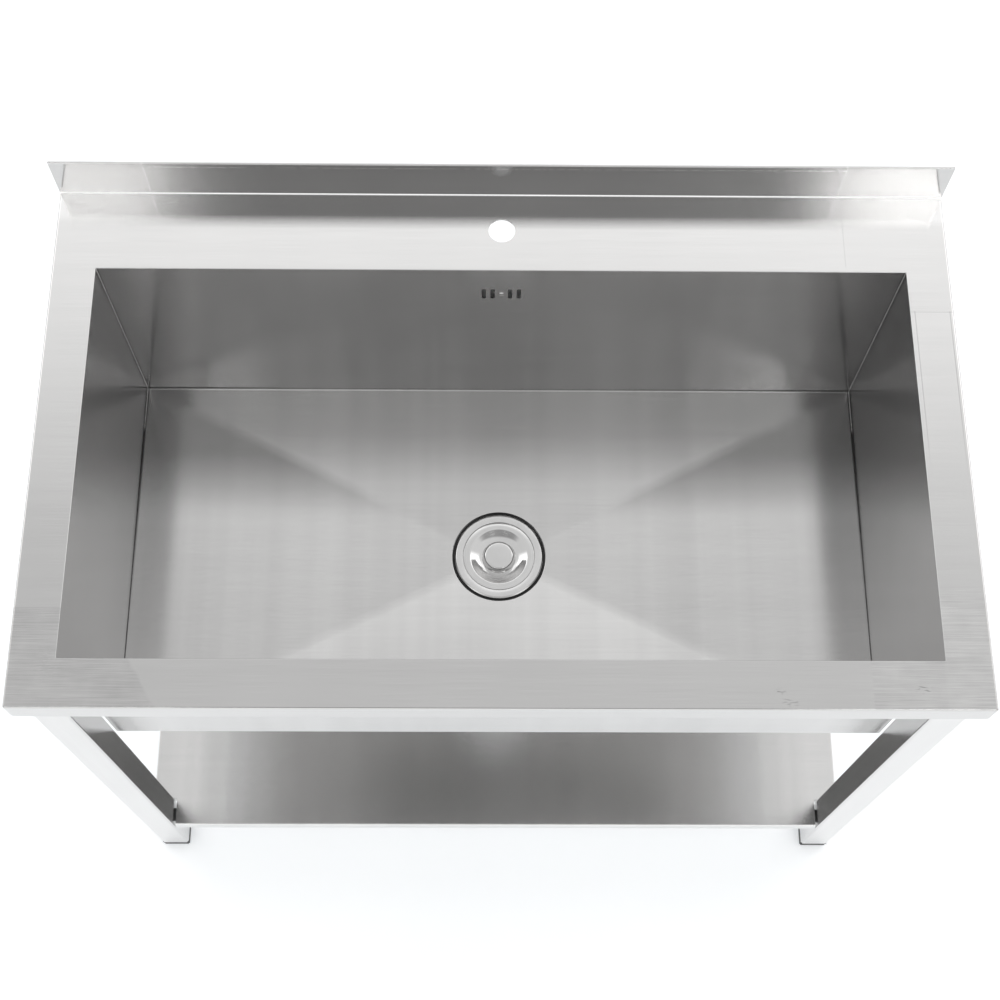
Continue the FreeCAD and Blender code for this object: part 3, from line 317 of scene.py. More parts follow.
# Small dark smudges on the front rim: across, along, and how far each fades across and reaches along.
SMUDGES = ((282, -280, 6, 1), (290, -292, 8, 1.5), (427, -278, 8, 1.5))


def in_millimetres(place):
    """The three components of a place, in millimetres."""
    return [place.part(axis) * (1 / MM) for axis in "XYZ"]


def rim_marks(place, x, y):
    """The front rim's ground corners and the masked strip at the right, and where the rim is ground."""
    soft = place.noise((0.03, 0.03, 0.03)) - 0.5
    streaks = place.noise((0.045, 0.0011, 0.0011), 2.0) - 0.5
    slanted = x + y * 0.65 + soft * 10
    left = slanted.step(LEFT_GROUND_SLANT + 3, LEFT_GROUND_SLANT - 3)
    left = left * y.step(LEFT_GROUND_ALONG + 1.5, LEFT_GROUND_ALONG)
    right = x.step(RIGHT_GROUND_ACROSS - 1, RIGHT_GROUND_ACROSS + 1)
    right = right * y.step(RIGHT_GROUND_ALONG + 1, RIGHT_GROUND_ALONG - 1)
    strip = x.step(STRIP_ACROSS - 0.5, STRIP_ACROSS + 0.5) * y.step(STRIP_ALONG + 1, STRIP_ALONG - 1)
    ground = left.math("MAXIMUM", right.math("MAXIMUM", strip * y.step(-150, -200)))
    sides = sum(x.near(across, 0.35, 0.5) for across in STRIP_LINES)
    sides = sides * y.step(-60, 60) * y.step(STRIP_ALONG + 1.5, STRIP_ALONG)
    lines = sides + strip * y.near(STRIP_ALONG, 0.4, 0.6)
    lighter = ground * (streaks * 0.16 + soft * 0.10 - 0.01) - left * 0.035 + strip * 0.012 - lines * 0.09
    return lighter, ground


def wear_marks(place, x, y):
    """A scuff near the front left corner and a few small dark smudges."""
    scratch = place.noise((0.004, 0.0006, 0.004), 3.0).step(0.56, 0.66)
    scuff = x.near(SCUFF[0], 4, 12) * y.near(SCUFF[1], 5, 14) * scratch
    smear = place.noise((0.007, 0.0016, 0.007), 2.0).step(0.5, 0.66)
    smudge = sum(x.near(across, 3, fade) * y.near(along, reach, 4) for across, along, fade, reach in SMUDGES)
    return scuff * 0.10 - smudge * smear * 0.16


def upstand_marks(place, x, y, z):
    """The broken fold line near the upstand's top, the two lines it ends at, and a painted highlight along
    the bend at its foot.
    """
    face = y.step(UPSTAND_FACE, UPSTAND_FACE + 0.5)
    fold = z.near(FOLD_LEVEL, 0.5, 0.6) * place.noise((0.006, 0.1, 0.1)).step(0.42, 0.5)
    fold = fold * x.step(FOLD_LEFT - 3, FOLD_LEFT + 3) * x.step(FOLD_RIGHT + 3, FOLD_RIGHT - 3)
    upright = x.near(FOLD_LEFT - 1, 0.4, 0.5) + x.near(FOLD_RIGHT, 0.4, 0.5)
    # Painted highlight: the bend at the upstand's foot is drawn lighter.
    bend = z.near(DECK / MM + 0.5, 0.7, 0.4) * y.step(UPSTAND_FACE - 0.5, UPSTAND_FACE)
    return face * (fold * 0.22 + upright * 0.10) + bend * 0.35


def deck_marks(place):
    """The ground patches, wear and lines on the top and the upstand, with painted light on the deck just
    before the upstand and a painted highlight at the upstand's foot.
    """
    x, y, z = in_millimetres(place)
    top = DECK / MM
    deck = z.step(top - 1.0, top - 0.4) * z.step(top + 1.4, top + 0.6)
    rim, ground = rim_marks(place, x, y)
    joint = x.near(JOINT_ACROSS, 0.3, 0.5) * y.step(JOINT_ALONG, JOINT_ALONG + 6)
    # Painted light: the deck is drawn a little lighter just before the upstand.
    painted_light_before_upstand = y.step(256, 272)
    on_deck = rim + wear_marks(place, x, y) - joint * 0.04 + painted_light_before_upstand * 0.06
    return deck * on_deck + upstand_marks(place, x, y, z), deck * ground * 0.05


def room_bands(place):
    """Soft upright bands of painted reflection: the streaks that the gloss of a brushed sheet draws across
    its grain.
    """
    broad = place.noise((0.09, 3, 3)) - 0.5
    narrow = place.noise((0.022, 3, 3)) - 0.5
    return broad * 0.10 + narrow * 0.06


def corner_marks(place):
    """The soft band where the bowl's corners were ground after welding, painted shade darkening the ends
    toward the rear, and painted reflection bands.
    """
    x, y, _ = in_millimetres(place)
    half, back = BOWL_HALF / MM, BOWL_BACK / MM
    end = abs(x).step(half - 3, half - 1)
    corner = end * y.step(back - 6, back - 1)
    soft = place.noise((0.012, 0.012, 0.05)) - 0.5
    # Painted shade: the ends' sheet is drawn darker toward the rear.
    painted_rear_shade = end * y.step(-190, 190) * 0.46
    return corner * (soft * 0.2 + 0.12) - painted_rear_shade + room_bands(place), corner * 0.10


def shelf_marks(place):
    """The shelf's soft bands of painted reflection."""
    return room_bands(place), 0.0


def weld_marks(place):
    """Bright down the corners, and dark along the floor but for a short stretch at the back."""
    _, y, z = in_millimetres(place)
    edge, back = FLOOR_EDGE / MM, BOWL_BACK / MM
    dark = z.step(edge + 3, edge + 1) * y.step(back - 50, back - 62)
    return (1 - dark) * 0.15 - dark * 0.40, dark * 0.3


FINISH = {
    "sheet": brushed("sheet", "x"),
    # Painted light: the shelf's tone is set lighter than the other sheet, to brighten its middle.
    "shelf": brushed("shelf_sheet", "x", tone=0.76, rough=0.2, marks_with_painted_light=shelf_marks),
    "deck": brushed("deck_sheet", "x", rough=0.10, spread=0.045, marks_with_painted_light=deck_marks),
    "bowl": brushed("bowl_sheet", "x", rough=0.14, marks_with_painted_light=corner_marks),
    # Painted shade: the ends' tone is set darker than the bowl's, to darken the side walls.
    "bowl_end": brushed("bowl_end_sheet", "y", tone=0.56, rough=0.14, edge=0.8, marks_with_painted_light=corner_marks),
    "upright": brushed("leg_tube", "z", tone=0.70),
    "weld": brushed("weld_bead", "x", tone=0.6, rough=0.25, spread=0.1, lines=0.3, marks_with_painted_light=weld_marks),
    "polished_steel": brushed("polished_steel", "z", tone=0.66, rough=0.16, spread=0.0),
    "strainer": turned_steel("strainer_steel", 0.68, 0.18, 0.0006),
    "lid": turned_steel("lid_steel", 0.68, 0.11, 0.0008),
    "steel_fastener": brushed("fastener_steel", "z", tone=0.66, rough=0.2, spread=0.0),
    "black_plastic": plastic("black_plastic", 0.02, 0.45),
    "black_rubber": plastic("black_rubber", 0.016, 0.6),
    "white_plastic": plastic("white_plastic", 0.8, 0.3),
}
BY_NODE = {"sink_top": "deck", "bowl_end_left": "bowl_end", "bowl_end_right": "bowl_end", "shelf": "shelf"}


def dress_nodes():
    """Give every CAD node its finish."""
    for part in frame["record"]["subparts"]:
        node, slot = part["node"], part["material_slot"]
        finish = BY_NODE.get(node, "sheet" if slot == "stainless_sheet" else slot)
        if node.startswith("leg_") and slot == "stainless_sheet":
            finish = "upright"
        thing = frame["nodes"][node]
        thing.data.materials.clear()
        thing.data.materials.append(FINISH[finish])


# Brightness of the room, how much brighter it is at the horizon, and panels of light overhead: their reach
# across and along, as slopes from the upright, how far their edges fade, and how much brighter or darker
# than the room they are.
ROOM = 0.80
HORIZON = 0.4
PANELS = (
    ((-9.0, 9.0), (0.49, 0.85), 0.07, 0.62),
    ((-0.42, -0.232), (-0.76, -0.60), 0.012, 4.0),
    ((0.243, 0.44), (-0.76, -0.60), 0.012, 5.4),
    ((-1.2, -0.5), (0.35, 1.2), 0.1, 0.9),
    ((0.5, 1.2), (0.35, 1.2), 0.1, 0.9),
    ((-9.0, 9.0), (-9.0, -1.4), 0.2, 0.5),
    ((-9.0, 9.0), (-1.1, -0.31), 0.12, -0.44),
    ((0.1, 9.0), (-9.0, 9.0), 0.25, 0.06),
)


def make_studio():
    """A white room lit by soft panels, with a pale floor."""
    world = bpy.data.worlds.new("studio")
    bpy.context.scene.world = world
    world.use_nodes = True
    world.node_tree.nodes.clear()
    towards = Field(world.node_tree).node("ShaderNodeTexCoord")
    height = towards.part("Z").math("MAXIMUM", 0.02)
    across = towards.part("X") / height
    along = towards.part("Y") / height
    horizon = towards.part("Z").step(0.42, 0.25)
    light = horizon * HORIZON + ROOM
    for (left, right), (near, far), fade, brightness in PANELS:
        inside = across.step(left - fade, left + fade) * across.step(right + fade, right - fade)
        inside = inside * along.step(near - fade, near + fade) * along.step(far + fade, far - fade)
        light = light + inside * (1 - horizon) * brightness
    glow = light.node("ShaderNodeBackground", {}, {"Color": (1, 1, 1, 1), "Strength": light})
    glow.node("ShaderNodeOutputWorld", {}, {"Surface": glow})
    floor = start("plane", "floor", size=24, location=(0, 0, -0.5 * MM))
    material, place = new_material("pale_floor")
    clouds = place.noise((0.5, 0.5, 0.5))
    colour = clouds.colours((0.3, grey(0.86)), (0.7, grey(0.88)))
    finish_material(place, {
        "Base Color": colour, "Roughness": 0.9,
        "Emission Color": (0.93, 0.97, 1.0, 1), "Emission Strength": 0.40,
    })
    floor.data.materials.append(material)


# Modelling by hand


def deselect():
    """Leave nothing selected."""
    bpy.ops.object.select_all(action="DESELECT")


def take(thing):
    """Make one object the selected and active one."""
    deselect()
    thing.select_set(True)
    bpy.context.view_layer.objects.active = thing


def apply_place(thing):
    """Put an object's place, turn and scale into its mesh."""
    take(thing)
    bpy.ops.object.transform_apply(location=True, rotation=True, scale=True)


def start(kind, name, scale=(1, 1, 1), **settings):
    """Add a primitive mesh by itself, with its place and scale in its mesh."""
    deselect()
    getattr(bpy.ops.mesh, f"primitive_{kind}_add")(**settings)
    thing = bpy.context.object
    thing.name = thing.data.name = name
    thing.scale = scale
    apply_place(thing)
    return thing


def block(name, lower, upper):
    """A cube between two corners, to be shaped further."""
    return start("cube", name, size=1, location=(lower + upper) / 2, scale=upper - lower)


def rod(name, foot, radius, length, vertices=48):
    """An upright cylinder standing on a point, to be shaped further or used as a cutter."""
    middle = foot + Vector((0, 0, length / 2))
    return start("cylinder", name, vertices=vertices, radius=radius, depth=length, location=middle)


@contextmanager
def editing(thing):
    """Open a mesh for editing, and close it afterwards."""
    take(thing)
    bpy.ops.object.mode_set(mode="EDIT")
    yield
    bpy.ops.object.mode_set(mode="OBJECT")


def choose(kind, wanted):
    """Select only the wanted vertices, edges or faces: by their middle, and their normal or direction."""
    bpy.ops.mesh.select_mode(type=kind)
    bpy.ops.mesh.select_all(action="DESELECT")
    data = bpy.context.edit_object.data
    mesh = bmesh.from_edit_mesh(data)
    if kind == "VERT":
        for point in mesh.verts:
            point.select_set(wanted(point.co, point.normal))
    elif kind == "EDGE":
        for edge in mesh.edges:
            first, last = (point.co for point in edge.verts)
            edge.select_set(wanted((first + last) / 2, (last - first).normalized()))
    else:
        for face in mesh.faces:
            face.select_set(wanted(face.calc_center_median(), face.normal))
    mesh.select_flush_mode()
    bmesh.update_edit_mesh(data)


def extrude(value):
    """Extrude what is selected by a vector."""
    bpy.ops.mesh.extrude_region_move(TRANSFORM_OT_translate={"value": value})


def bevel(width, segments=3, kind="EDGES"):
    """Round what is selected."""
    bpy.ops.mesh.bevel(affect=kind, offset=width, offset_type="OFFSET", segments=segments)


def close_up():
    """Merge doubles and turn every face outwards."""
    bpy.ops.mesh.select_all(action="SELECT")
    bpy.ops.mesh.remove_doubles(threshold=0.001 * MM)
    bpy.ops.mesh.normals_make_consistent(inside=False)


def round_all(thing, width, segments=3, angle=50):
    """Round every edge sharper than an angle, and close the mesh."""
    with editing(thing):
        bpy.ops.mesh.select_all(action="DESELECT")
        bpy.ops.mesh.select_mode(type="EDGE")
        bpy.ops.mesh.edges_select_sharp(sharpness=radians(angle))
        bevel(width, segments)
        close_up()


def modify(thing, kind, **settings):
    """Add a modifier and apply it."""
    take(thing)
    modifier = thing.modifiers.new(kind.lower(), kind)
    for name, value in settings.items():
        setattr(modifier, name, value)
    bpy.ops.object.modifier_apply(modifier=modifier.name)


def combine(thing, operation, *tools):
    """Join, cut or keep the common part of solids; the tools are used up."""
    for tool in tools:
        modify(thing, "BOOLEAN", object=tool, operation=operation, solver="EXACT")
        bpy.data.objects.remove(tool)


def turned(name, foot, corners, steps=96):
    """A ring or disc turned about an upright axis; corners are (radius, height, rounding) in millimetres."""
    thing = start("plane", name, location=foot)
    places = [foot + Vector((radius, 0, height)) * MM for radius, height, _ in corners]
    on_axis = corners[0][0] == corners[-1][0] == 0
    with editing(thing):
        bpy.ops.mesh.select_mode(type="VERT")
        bpy.ops.mesh.select_all(action="SELECT")
        bpy.ops.mesh.merge(type="CENTER")
        bpy.ops.transform.translate(value=places[0] - foot)
        for here, there in zip(places, places[1:] + ([] if on_axis else places[:1])):
            extrude(there - here)
        close_up()
        for place, (_, _, rounding) in zip(places, corners):
            if rounding:
                choose("VERT", lambda co, normal: (co - place).length < 0.01 * MM)
                bevel(rounding * MM, 4, "VERTICES")
        bpy.ops.mesh.select_all(action="SELECT")
        bpy.ops.mesh.spin(steps=steps, angle=tau, center=foot, axis=(0, 0, 1))
        close_up()
        bpy.ops.mesh.select_all(action="SELECT")
        bpy.ops.mesh.dissolve_degenerate(threshold=0.001 * MM)
        bpy.ops.mesh.normals_make_consistent(inside=False)
    return thing


def raise_grips(thing, axis, radius, levels, count, height):
    """Raise every other stretch of a round wall as grip ribs."""
    lower, upper = levels

    def on_grip(place, normal):
        across, along = place.x - axis.x, place.y - axis.y
        turn = atan2(along, across) % (tau / count)
        on_wall = abs(hypot(across, along) - radius) < 0.3 * MM and lower < place.z < upper
        return on_wall and turn < pi / count

    with editing(thing):
        choose("FACE", on_grip)
        bpy.ops.mesh.inset(thickness=0.5 * height, depth=height, use_even_offset=True)


def copied(thing, name, place=(0, 0, 0)):
    """A copy with its own mesh, moved."""
    twin = thing.copy()
    twin.data = thing.data.copy()
    twin.name = twin.data.name = name
    bpy.context.scene.collection.objects.link(twin)
    twin.location = place
    apply_place(twin)
    return twin


def complete(piece, material, slot, *nodes, body="root", angle=32):
    """Smooth a piece, give it its finish, fix it to its body and let it stand for its nodes."""
    take(piece)
    bpy.ops.object.shade_smooth_by_angle(angle=radians(angle))
    piece.data.materials.clear()
    piece.data.materials.append(material)
    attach(piece, body)
    if nodes:
        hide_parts(*nodes)
    return piece


# Bowl


def make_bowl():
    """Front wall, floor falling in four soft-creased facets and rear wall, with the welds at its ends."""
    middle = Vector((0, BOWL_MIDDLE, FLOOR_EDGE))
    spread = (2 * BOWL_HALF, BOWL_BACK - BOWL_FRONT, 1)
    wrap = start("plane", "folded_bowl", size=1, location=middle, scale=spread)
    with editing(wrap):
        choose("EDGE", lambda place, way: abs(way.x) > 0.9)
        extrude((0, 0, DECK_UNDER - FLOOR_EDGE))
        choose("EDGE", lambda place, way: abs(way.x) > 0.9 and place.z < FLOOR_EDGE + TINY)
        bevel(FLOOR_BEND, 4)
        choose("FACE", lambda place, normal: (place - middle).length < TINY)
        extrude((0, 0, 0))
        bpy.ops.transform.resize(value=(0.05, 0.05, 1), center_override=middle)
        bpy.ops.transform.translate(value=(0, 0, -0.95 * FLOOR_FALL))
        choose("EDGE", lambda place, way: min(abs(way.x), abs(way.y)) > 0.2)
        bevel(7 * MM, 4)
    make_bowl_welds(wrap)
    under_floor = copied(wrap, "under_floor")
    modify(under_floor, "SOLIDIFY", thickness=20 * MM)
    modify(wrap, "SOLIDIFY", thickness=SHEET)
    pan = rod("pan", WASTE - Vector((0, 0, SHEET)), RECESS + SHEET, 15 * MM, 96)
    combine(pan, "INTERSECT", under_floor)
    combine(wrap, "UNION", pan)
    combine(wrap, "DIFFERENCE", rod("recess", WASTE, RECESS, 20 * MM, 96))
    combine(wrap, "DIFFERENCE", rod("waste_hole", WASTE - Vector((0, 0, 9 * MM)), WASTE_HOLE, 20 * MM, 96))
    with editing(wrap):
        choose("EDGE", lambda place, way: abs((place - WASTE).to_2d().length - RECESS) < TINY
               and place.z > RECESS_FLOOR + 2 * MM)
        bevel(0.5 * MM, 2)
    for step in (-2, -1, 1, 2):
        combine(wrap, "DIFFERENCE", slot_cutter(step * SLOT_PITCH))
    complete(wrap, FINISH["bowl"], "stainless_sheet", "bowl_wrap")
    modify(wrap, "WEIGHTED_NORMAL", keep_sharp=True)


def slot_cutter(across):
    """The shape of one overflow slot, with round corners."""
    centre = Vector((across, BOWL_BACK, SLOT_LEVEL))
    cutter = block("slot", centre - SLOT_HALF, centre + SLOT_HALF)
    with editing(cutter):
        choose("EDGE", lambda place, way: abs(way.y) > 0.9)
        bevel(1.6 * MM, 4)
    return cutter


def make_bowl_welds(wrap):
    """A fine ground bead along each end of the bowl, down the walls and across the floor."""
    for side, name in ((-1, "weld_left"), (1, "weld_right")):
        bead = copied(wrap, name)
        with editing(bead):
            choose("FACE", lambda place, normal: True)
            bpy.ops.mesh.delete(type="ONLY_FACE")
            choose("EDGE", lambda place, way: abs(place.x - side * BOWL_HALF) > TINY)
            bpy.ops.mesh.delete(type="EDGE")
            choose("VERT", lambda place, normal: abs(place.x - side * BOWL_HALF) > TINY)
            bpy.ops.mesh.delete(type="VERT")
        take(bead)
        bpy.ops.object.convert(target="CURVE")
        bead = bpy.context.object
        bead.data.bevel_depth = 0.7 * MM
        bead.data.bevel_resolution = 2
        bead.data.use_fill_caps = True
        bpy.ops.object.convert(target="MESH")
        bead = bpy.context.object
        bead.name = bead.data.name = name
        with editing(bead):
            bpy.ops.mesh.select_mode(type="VERT")
            close_up()
        complete(bead, FINISH["weld"], "stainless_sheet", angle=60)


# Waste


def make_waste():
    """Flange and cup, gaskets, lid, basket fittings and the plastic body, all turned on one axis."""
    flange = high("strainer_cup").x / MM
    rise = (high("strainer_cup").z - RECESS_FLOOR) / MM
    foot = (low("strainer_cup").z - RECESS_FLOOR) / MM
    cup = turned("strainer_flange", WASTE, [
        (flange, 2.5, 0.3), (flange, 3.9, 0.5), (flange - 2.2, rise, 0.5), (44.6, rise, 0.4),
        (44.6, 3.4, 0.2), (41.6, 3.4, 0.3), (41.6, foot + 1.2, 2.5), (21, foot + 1.2, 0.3),
        (21, foot, 0.3), (42.8, foot, 3), (42.8, 2.2, 0), (45.8, 2.2, 0), (45.8, 4.0, 0),
        (flange - 2.8, 4.0, 0), (flange - 1.4, 2.5, 0),
    ])
    complete(cup, FINISH["strainer"], "polished_steel", "strainer_cup")
    ring = turned("flange_gasket", WASTE, [
        (46.2, 0, 0), (RECESS / MM - 0.3, 0, 0.2), (RECESS / MM - 0.3, 1.2, 0.5), (flange - 1.7, 1.2, 0.3),
        (flange - 3.0, 4.0, 0), (46.2, 4.0, 0),
    ])
    complete(ring, FINISH["black_rubber"], "black_rubber", "waste_gasket_upper")
    top = (high("waste_lid").z - RECESS_FLOOR) / MM
    face = top - 3.8
    lid = turned("dished_lid", WASTE, [
        (0, top - 1, 0), (16.8, top - 1.4, 1.5), (19.2, face - 6.4, 0.6), (25.6, face - 6.2, 4),
        (35.4, face - 1, 0.8), (43.9, face - 1, 0.3), (43.9, face, 0.4), (35.6, face, 0.9),
        (25.5, face - 5.1, 4.5), (20.6, face - 5.4, 1.0), (18.2, top - 0.4, 2.4), (9, top, 6), (0, top, 0),
    ])
    complete(lid, FINISH["lid"], "polished_steel", "waste_lid", body="lid")
    seal_foot = (low("basket_seal").z - RECESS_FLOOR) / MM
    seal_top = (high("basket_seal").z - RECESS_FLOOR) / MM
    seal = turned("stopper", WASTE, [
        (3, seal_foot, 0), (25, seal_foot, 1.2), (25, seal_foot + 1.8, 0.6), (23.5, seal_foot + 2.5, 0.4),
        (25, seal_foot + 3.2, 0.6), (24, seal_foot + 5, 1), (6, seal_foot + 5, 1.5), (6, seal_top, 0.8),
        (3, seal_top, 0),
    ], 64)
    complete(seal, FINISH["black_rubber"], "black_rubber", "basket_seal", body="basket")
    stem_foot = (low("basket_post").z - RECESS_FLOOR) / MM
    stem_top = (high("basket_post").z - RECESS_FLOOR) / MM
    stem = turned("basket_handle", WASTE, [
        (0, stem_foot, 0), (3, stem_foot, 0.3), (3, stem_top - 6, 1.5), (5, stem_top - 4.6, 0.8),
        (8, stem_top - 4, 0.8), (8, stem_top - 1.2, 1.1), (4.5, stem_top, 1.5), (0, stem_top - 0.6, 0),
    ], 48)
    complete(stem, FINISH["polished_steel"], "polished_steel", "basket_post", body="basket")
    make_waste_body()


def make_waste_body():
    """The white body under the bowl: ribbed collar, chamber, threaded outlet and overflow spigot."""
    place = Vector((0, WASTE.y, low("waste_body").z))
    wall = high("waste_body").x / MM
    height = (high("waste_body").z - low("waste_body").z) / MM
    thread = [(23.9 - 1.1 * (turn % 2), 1.2 + 1.15 * turn, 0) for turn in range(21)]
    body = turned("waste_housing", place, [
        (20, 0, 0.4), (22.6, 0, 0.3), *thread, (23.9, 29, 0.5), (29, 31.5, 1.5), (50.3, 38.2, 3),
        (50.3, height - 12, 1), (wall - 1.2, height - 10, 0.8), (wall - 1.2, height, 0.8),
        (42.9, height, 0.3), (42.9, height - 9, 0.3), (46.8, height - 10, 0), (46.8, 41.5, 3),
        (20, 33.5, 1),
    ])
    grips = (place.z + (height - 9) * MM, place.z + (height - 1) * MM)
    raise_grips(body, place, (wall - 1.2) * MM, grips, 16, 1.2 * MM)
    spigot_end = high("waste_body").y - WASTE.y
    level = (low("overflow_nut_lower").z + high("overflow_nut_lower").z) / 2
    spigot = rod("spigot", Vector((0, 0, 0)), 13.45 * MM, spigot_end - 45 * MM)
    bore = rod("spigot_bore", Vector((0, 0, -10 * MM)), 11.05 * MM, spigot_end)
    for tool in (spigot, bore):
        tool.rotation_euler.x = -pi / 2
        tool.location = (0, WASTE.y + 45 * MM, level)
        apply_place(tool)
    combine(body, "UNION", spigot)
    combine(body, "DIFFERENCE", bore)
    complete(body, FINISH["white_plastic"], "white_plastic", "waste_body")


# Overflow


HOUSING_GROOVES = [across * MM for across in (-22.5, -7.5, 7.5, 22.5)]
HOUSING_GROOVE_HALF = 1.5 * MM


def make_overflow():
    """The box behind the slots with its screw, and the pipe with its ribbed nuts."""
    lower, upper = low("overflow_box"), high("overflow_box")
    foot = lower.z + 18 * MM
    upper_back = Vector((upper.x, upper.y - 1 * MM, upper.z - 0.3 * MM))
    box = block("overflow_housing", Vector((lower.x, lower.y + 2 * MM, foot)), upper_back)
    with editing(box):
        for groove in HOUSING_GROOVES:
            for across in (groove - HOUSING_GROOVE_HALF, groove + HOUSING_GROOVE_HALF):
                bpy.ops.mesh.select_all(action="SELECT")
                bpy.ops.mesh.bisect(plane_co=(across, 0, 0), plane_no=(1, 0, 0))
        choose("FACE", lambda place, normal: normal.y > 0.9
               and min(abs(place.x - groove) for groove in HOUSING_GROOVES) < HOUSING_GROOVE_HALF - TINY)
        bpy.ops.mesh.inset(thickness=0.3 * MM, depth=1 * MM, use_even_offset=True)
    round_all(box, 0.8 * MM, 3)
    inwards = Vector((1, 1, 1)) * 2 * MM
    hollow = block("hollow", Vector((lower.x, lower.y, foot)) + inwards, upper_back - inwards)
    with editing(hollow):
        choose("FACE", lambda place, normal: normal.y < -0.9)
        extrude((0, -8 * MM, 0))
        choose("EDGE", lambda place, way: abs(way.y) > 0.9)
        bevel(3 * MM, 3)
    combine(box, "DIFFERENCE", hollow)
    pipe_y = (low("overflow_nut_upper").y + high("overflow_nut_upper").y) / 2
    spigot = rod("spigot", Vector((0, pipe_y, lower.z)), 13.45 * MM, 25 * MM)
    combine(box, "UNION", spigot)
    complete(box, FINISH["white_plastic"], "white_plastic", "overflow_box")
    make_overflow_pipe(pipe_y)
    nut = turned("nut_upper", Vector((0, pipe_y, low("overflow_nut_upper").z)), [
        (11.4, 0, 0.4), (16.3, 0, 1.0), (16.3, 16, 0.8), (13.5, 16, 0.3), (13.5, 2.5, 0), (11.4, 2.5, 0),
    ], 64)
    level = low("overflow_nut_upper").z
    raise_grips(nut, Vector((0, pipe_y)), 16.3 * MM, (level + 1.5 * MM, level + 15 * MM), 16, 1.2 * MM)
    lower_nut = copied(nut, "nut_lower")
    with editing(lower_nut):
        bpy.ops.mesh.select_all(action="SELECT")
        bpy.ops.transform.translate(value=(0, -pipe_y, -level))
    lower_nut.rotation_euler.x = pi / 2
    centre = (low("overflow_nut_lower") + high("overflow_nut_lower")) / 2
    lower_nut.location = (0, high("overflow_nut_lower").y, centre.z)
    apply_place(lower_nut)
    complete(nut, FINISH["white_plastic"], "white_plastic", "overflow_nut_upper")
    complete(lower_nut, FINISH["white_plastic"], "white_plastic", "overflow_nut_lower")
    make_overflow_screw()


def make_overflow_pipe(pipe_y):
    """The white pipe: down from the box, round a quarter bend and forward to the waste."""
    top = high("overflow_pipe").z
    radius = high("overflow_pipe").x
    level = low("overflow_pipe").z + radius
    bend = 42 * MM
    pipe = start("circle", "overflow_bend", vertices=32, radius=radius, location=(0, pipe_y, top))
    with editing(pipe):
        bpy.ops.mesh.select_all(action="SELECT")
        extrude((0, 0, level + bend - top))
        bpy.ops.mesh.spin(steps=16, angle=pi / 2, center=(0, pipe_y - bend, level + bend), axis=(1, 0, 0))
        extrude((0, low("overflow_pipe").y - (pipe_y - bend), 0))
        close_up()
    modify(pipe, "SOLIDIFY", thickness=1.5 * MM, offset=-1)
    complete(pipe, FINISH["white_plastic"], "white_plastic", "overflow_pipe")


def make_overflow_screw():
    """The bright pan-head screw between the slots, with a cross recess."""
    lower, upper = low("overflow_screw"), high("overflow_screw")
    length = (upper.y - lower.y) / MM
    screw = turned("wall_screw", Vector((0, 0, 0)), [
        (0, 0, 0), (2.4, 0.1, 1.5), (3.8, 1.5, 0.6), (3.8, 2.2, 0.2), (2, 2.2, 0), (2, length, 0.3),
        (0, length, 0),
    ], 32)
    for half in (Vector((2.2, 0.45, 1.2)) * MM, Vector((0.45, 2.2, 1.2)) * MM):
        combine(screw, "DIFFERENCE", block("cross", -half, half))
    screw.rotation_euler = (-pi / 2, 0, 0)
    screw.location = (0, lower.y, SLOT_LEVEL)
    apply_place(screw)
    complete(screw, FINISH["steel_fastener"], "steel_fastener", "overflow_screw")


# Feet and screws


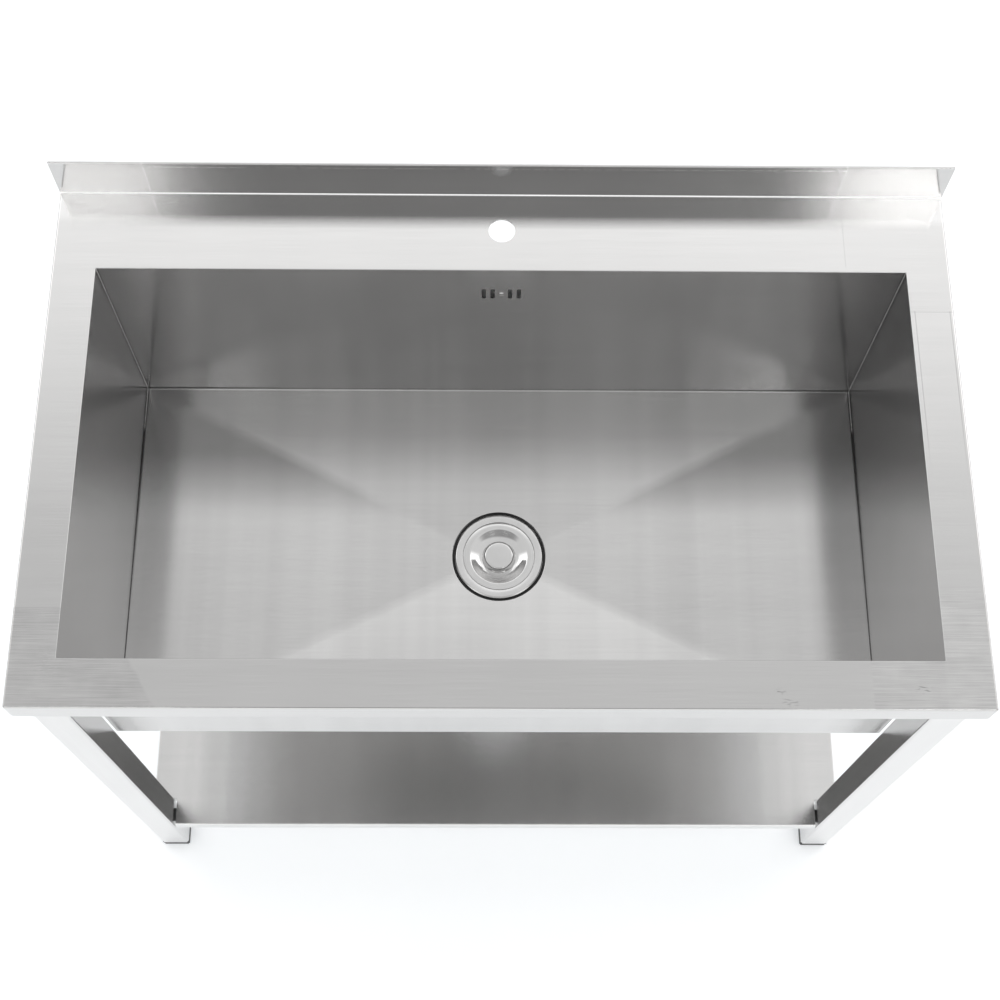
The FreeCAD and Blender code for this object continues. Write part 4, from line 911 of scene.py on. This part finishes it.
def make_feet():
    """A black insert, a threaded stud and a square black foot at each leg."""
    lower, upper = low("foot_pad_front_left"), high("foot_pad_front_left")
    pad = block("foot_front_left", lower, upper)
    with editing(pad):
        choose("EDGE", lambda place, way: abs(way.z) > 0.9)
        bevel(3 * MM, 4)
        choose("FACE", lambda place, normal: normal.z < -0.9)
        bpy.ops.mesh.inset(thickness=3 * MM)
        extrude((0, 0, 1.5 * MM))
    round_all(pad, 0.6 * MM, 2, 60)
    axis = (lower + upper) / 2
    stud_low, stud_high = low("foot_stud_front_left").z, high("foot_stud_front_left").z
    turns = int((stud_high - stud_low) / MM / 0.75) - 2
    thread = [(5 - 0.75 * (turn % 2), 1.5 + 0.75 * turn, 0) for turn in range(turns)]
    stud = turned("stud_front_left", Vector((axis.x, axis.y, stud_low)), [
        (0, 0, 0), (4.2, 0, 0), *thread, (4.2, (stud_high - stud_low) / MM, 0.5),
        (0, (stud_high - stud_low) / MM, 0),
    ], 24)
    insert_low = low("foot_insert_front_left")
    insert_high = high("foot_insert_front_left")
    lip_top = low("leg_front_left").z
    insert = block("insert_front_left", insert_low, Vector((insert_high.x, insert_high.y, lip_top)))
    with editing(insert):
        choose("FACE", lambda place, normal: normal.z > 0.9)
        bpy.ops.mesh.inset(thickness=1.4 * MM)
        extrude((0, 0, insert_high.z - lip_top))
        choose("EDGE", lambda place, way: abs(way.z) > 0.9)
        bevel(1.8 * MM, 4)
    hole = rod("stud_hole", Vector((axis.x, axis.y, insert_low.z - 5 * MM)), 5.06 * MM, 50 * MM, 32)
    combine(insert, "DIFFERENCE", hole)
    kinds = (
        (pad, "foot", "black_plastic", "foot_pad", "foot_{}"),
        (stud, "stud", "steel_fastener", "foot_stud", "foot_{}"),
        (insert, "insert", "black_plastic", "foot_insert", "root"),
    )
    for piece, name, slot, node, body in kinds:
        at = (low(f"{node}_front_left") + high(f"{node}_front_left")) / 2
        for corner in CORNERS:
            there = (low(f"{node}_{corner}") + high(f"{node}_{corner}")) / 2
            twin = piece if corner == "front_left" else copied(piece, f"{name}_{corner}", there - at)
            complete(twin, FINISH[slot], slot, f"{node}_{corner}", body=body.format(corner))


def make_screws():
    """Button-head screws with hexagon sockets, at the legs' tops and at the shelf."""
    leg_face = low("leg_front_right").x
    for node, name, gap in (("leg_screws", "button_screw", 0), ("shelf_bolts", "shelf_screw", 3 * MM)):
        level = (low(node).z + high(node).z) / 2
        reach = (high(node).x - leg_face + gap) / MM
        screw = turned(name, Vector((0, 0, 0)), [
            (0, -3.3, 0), (2.9, -3.3, 0.4), (5.25, -0.9, 1.2), (5.25, 0, 0.2), (3, 0, 0), (3, reach, 0.6),
            (0, reach, 0),
        ], 32)
        combine(screw, "DIFFERENCE", rod("socket", Vector((0, 0, -5 * MM)), 2.31 * MM, 3.7 * MM, 6))
        pieces = []
        for corner in CORNERS:
            leg = (low(f"leg_{corner}") + high(f"leg_{corner}")) / 2
            side = 1 if leg.x > 0 else -1
            twin = copied(screw, f"{name}_{corner}")
            twin.rotation_euler.y = side * pi / 2
            twin.location = (side * (leg_face - gap), leg.y, level)
            apply_place(twin)
            pieces.append(twin)
        bpy.data.objects.remove(screw)
        deselect()
        for piece in pieces:
            piece.select_set(True)
        bpy.context.view_layer.objects.active = pieces[0]
        bpy.ops.object.join()
        pieces[0].name = pieces[0].data.name = f"{name}s"
        complete(pieces[0], FINISH["steel_fastener"], "steel_fastener", node)


bpy.context.scene.view_settings.view_transform = "Standard"
make_camera()
make_studio()
dress_nodes()
make_bowl()
make_waste()
make_overflow()
make_feet()
make_screws()
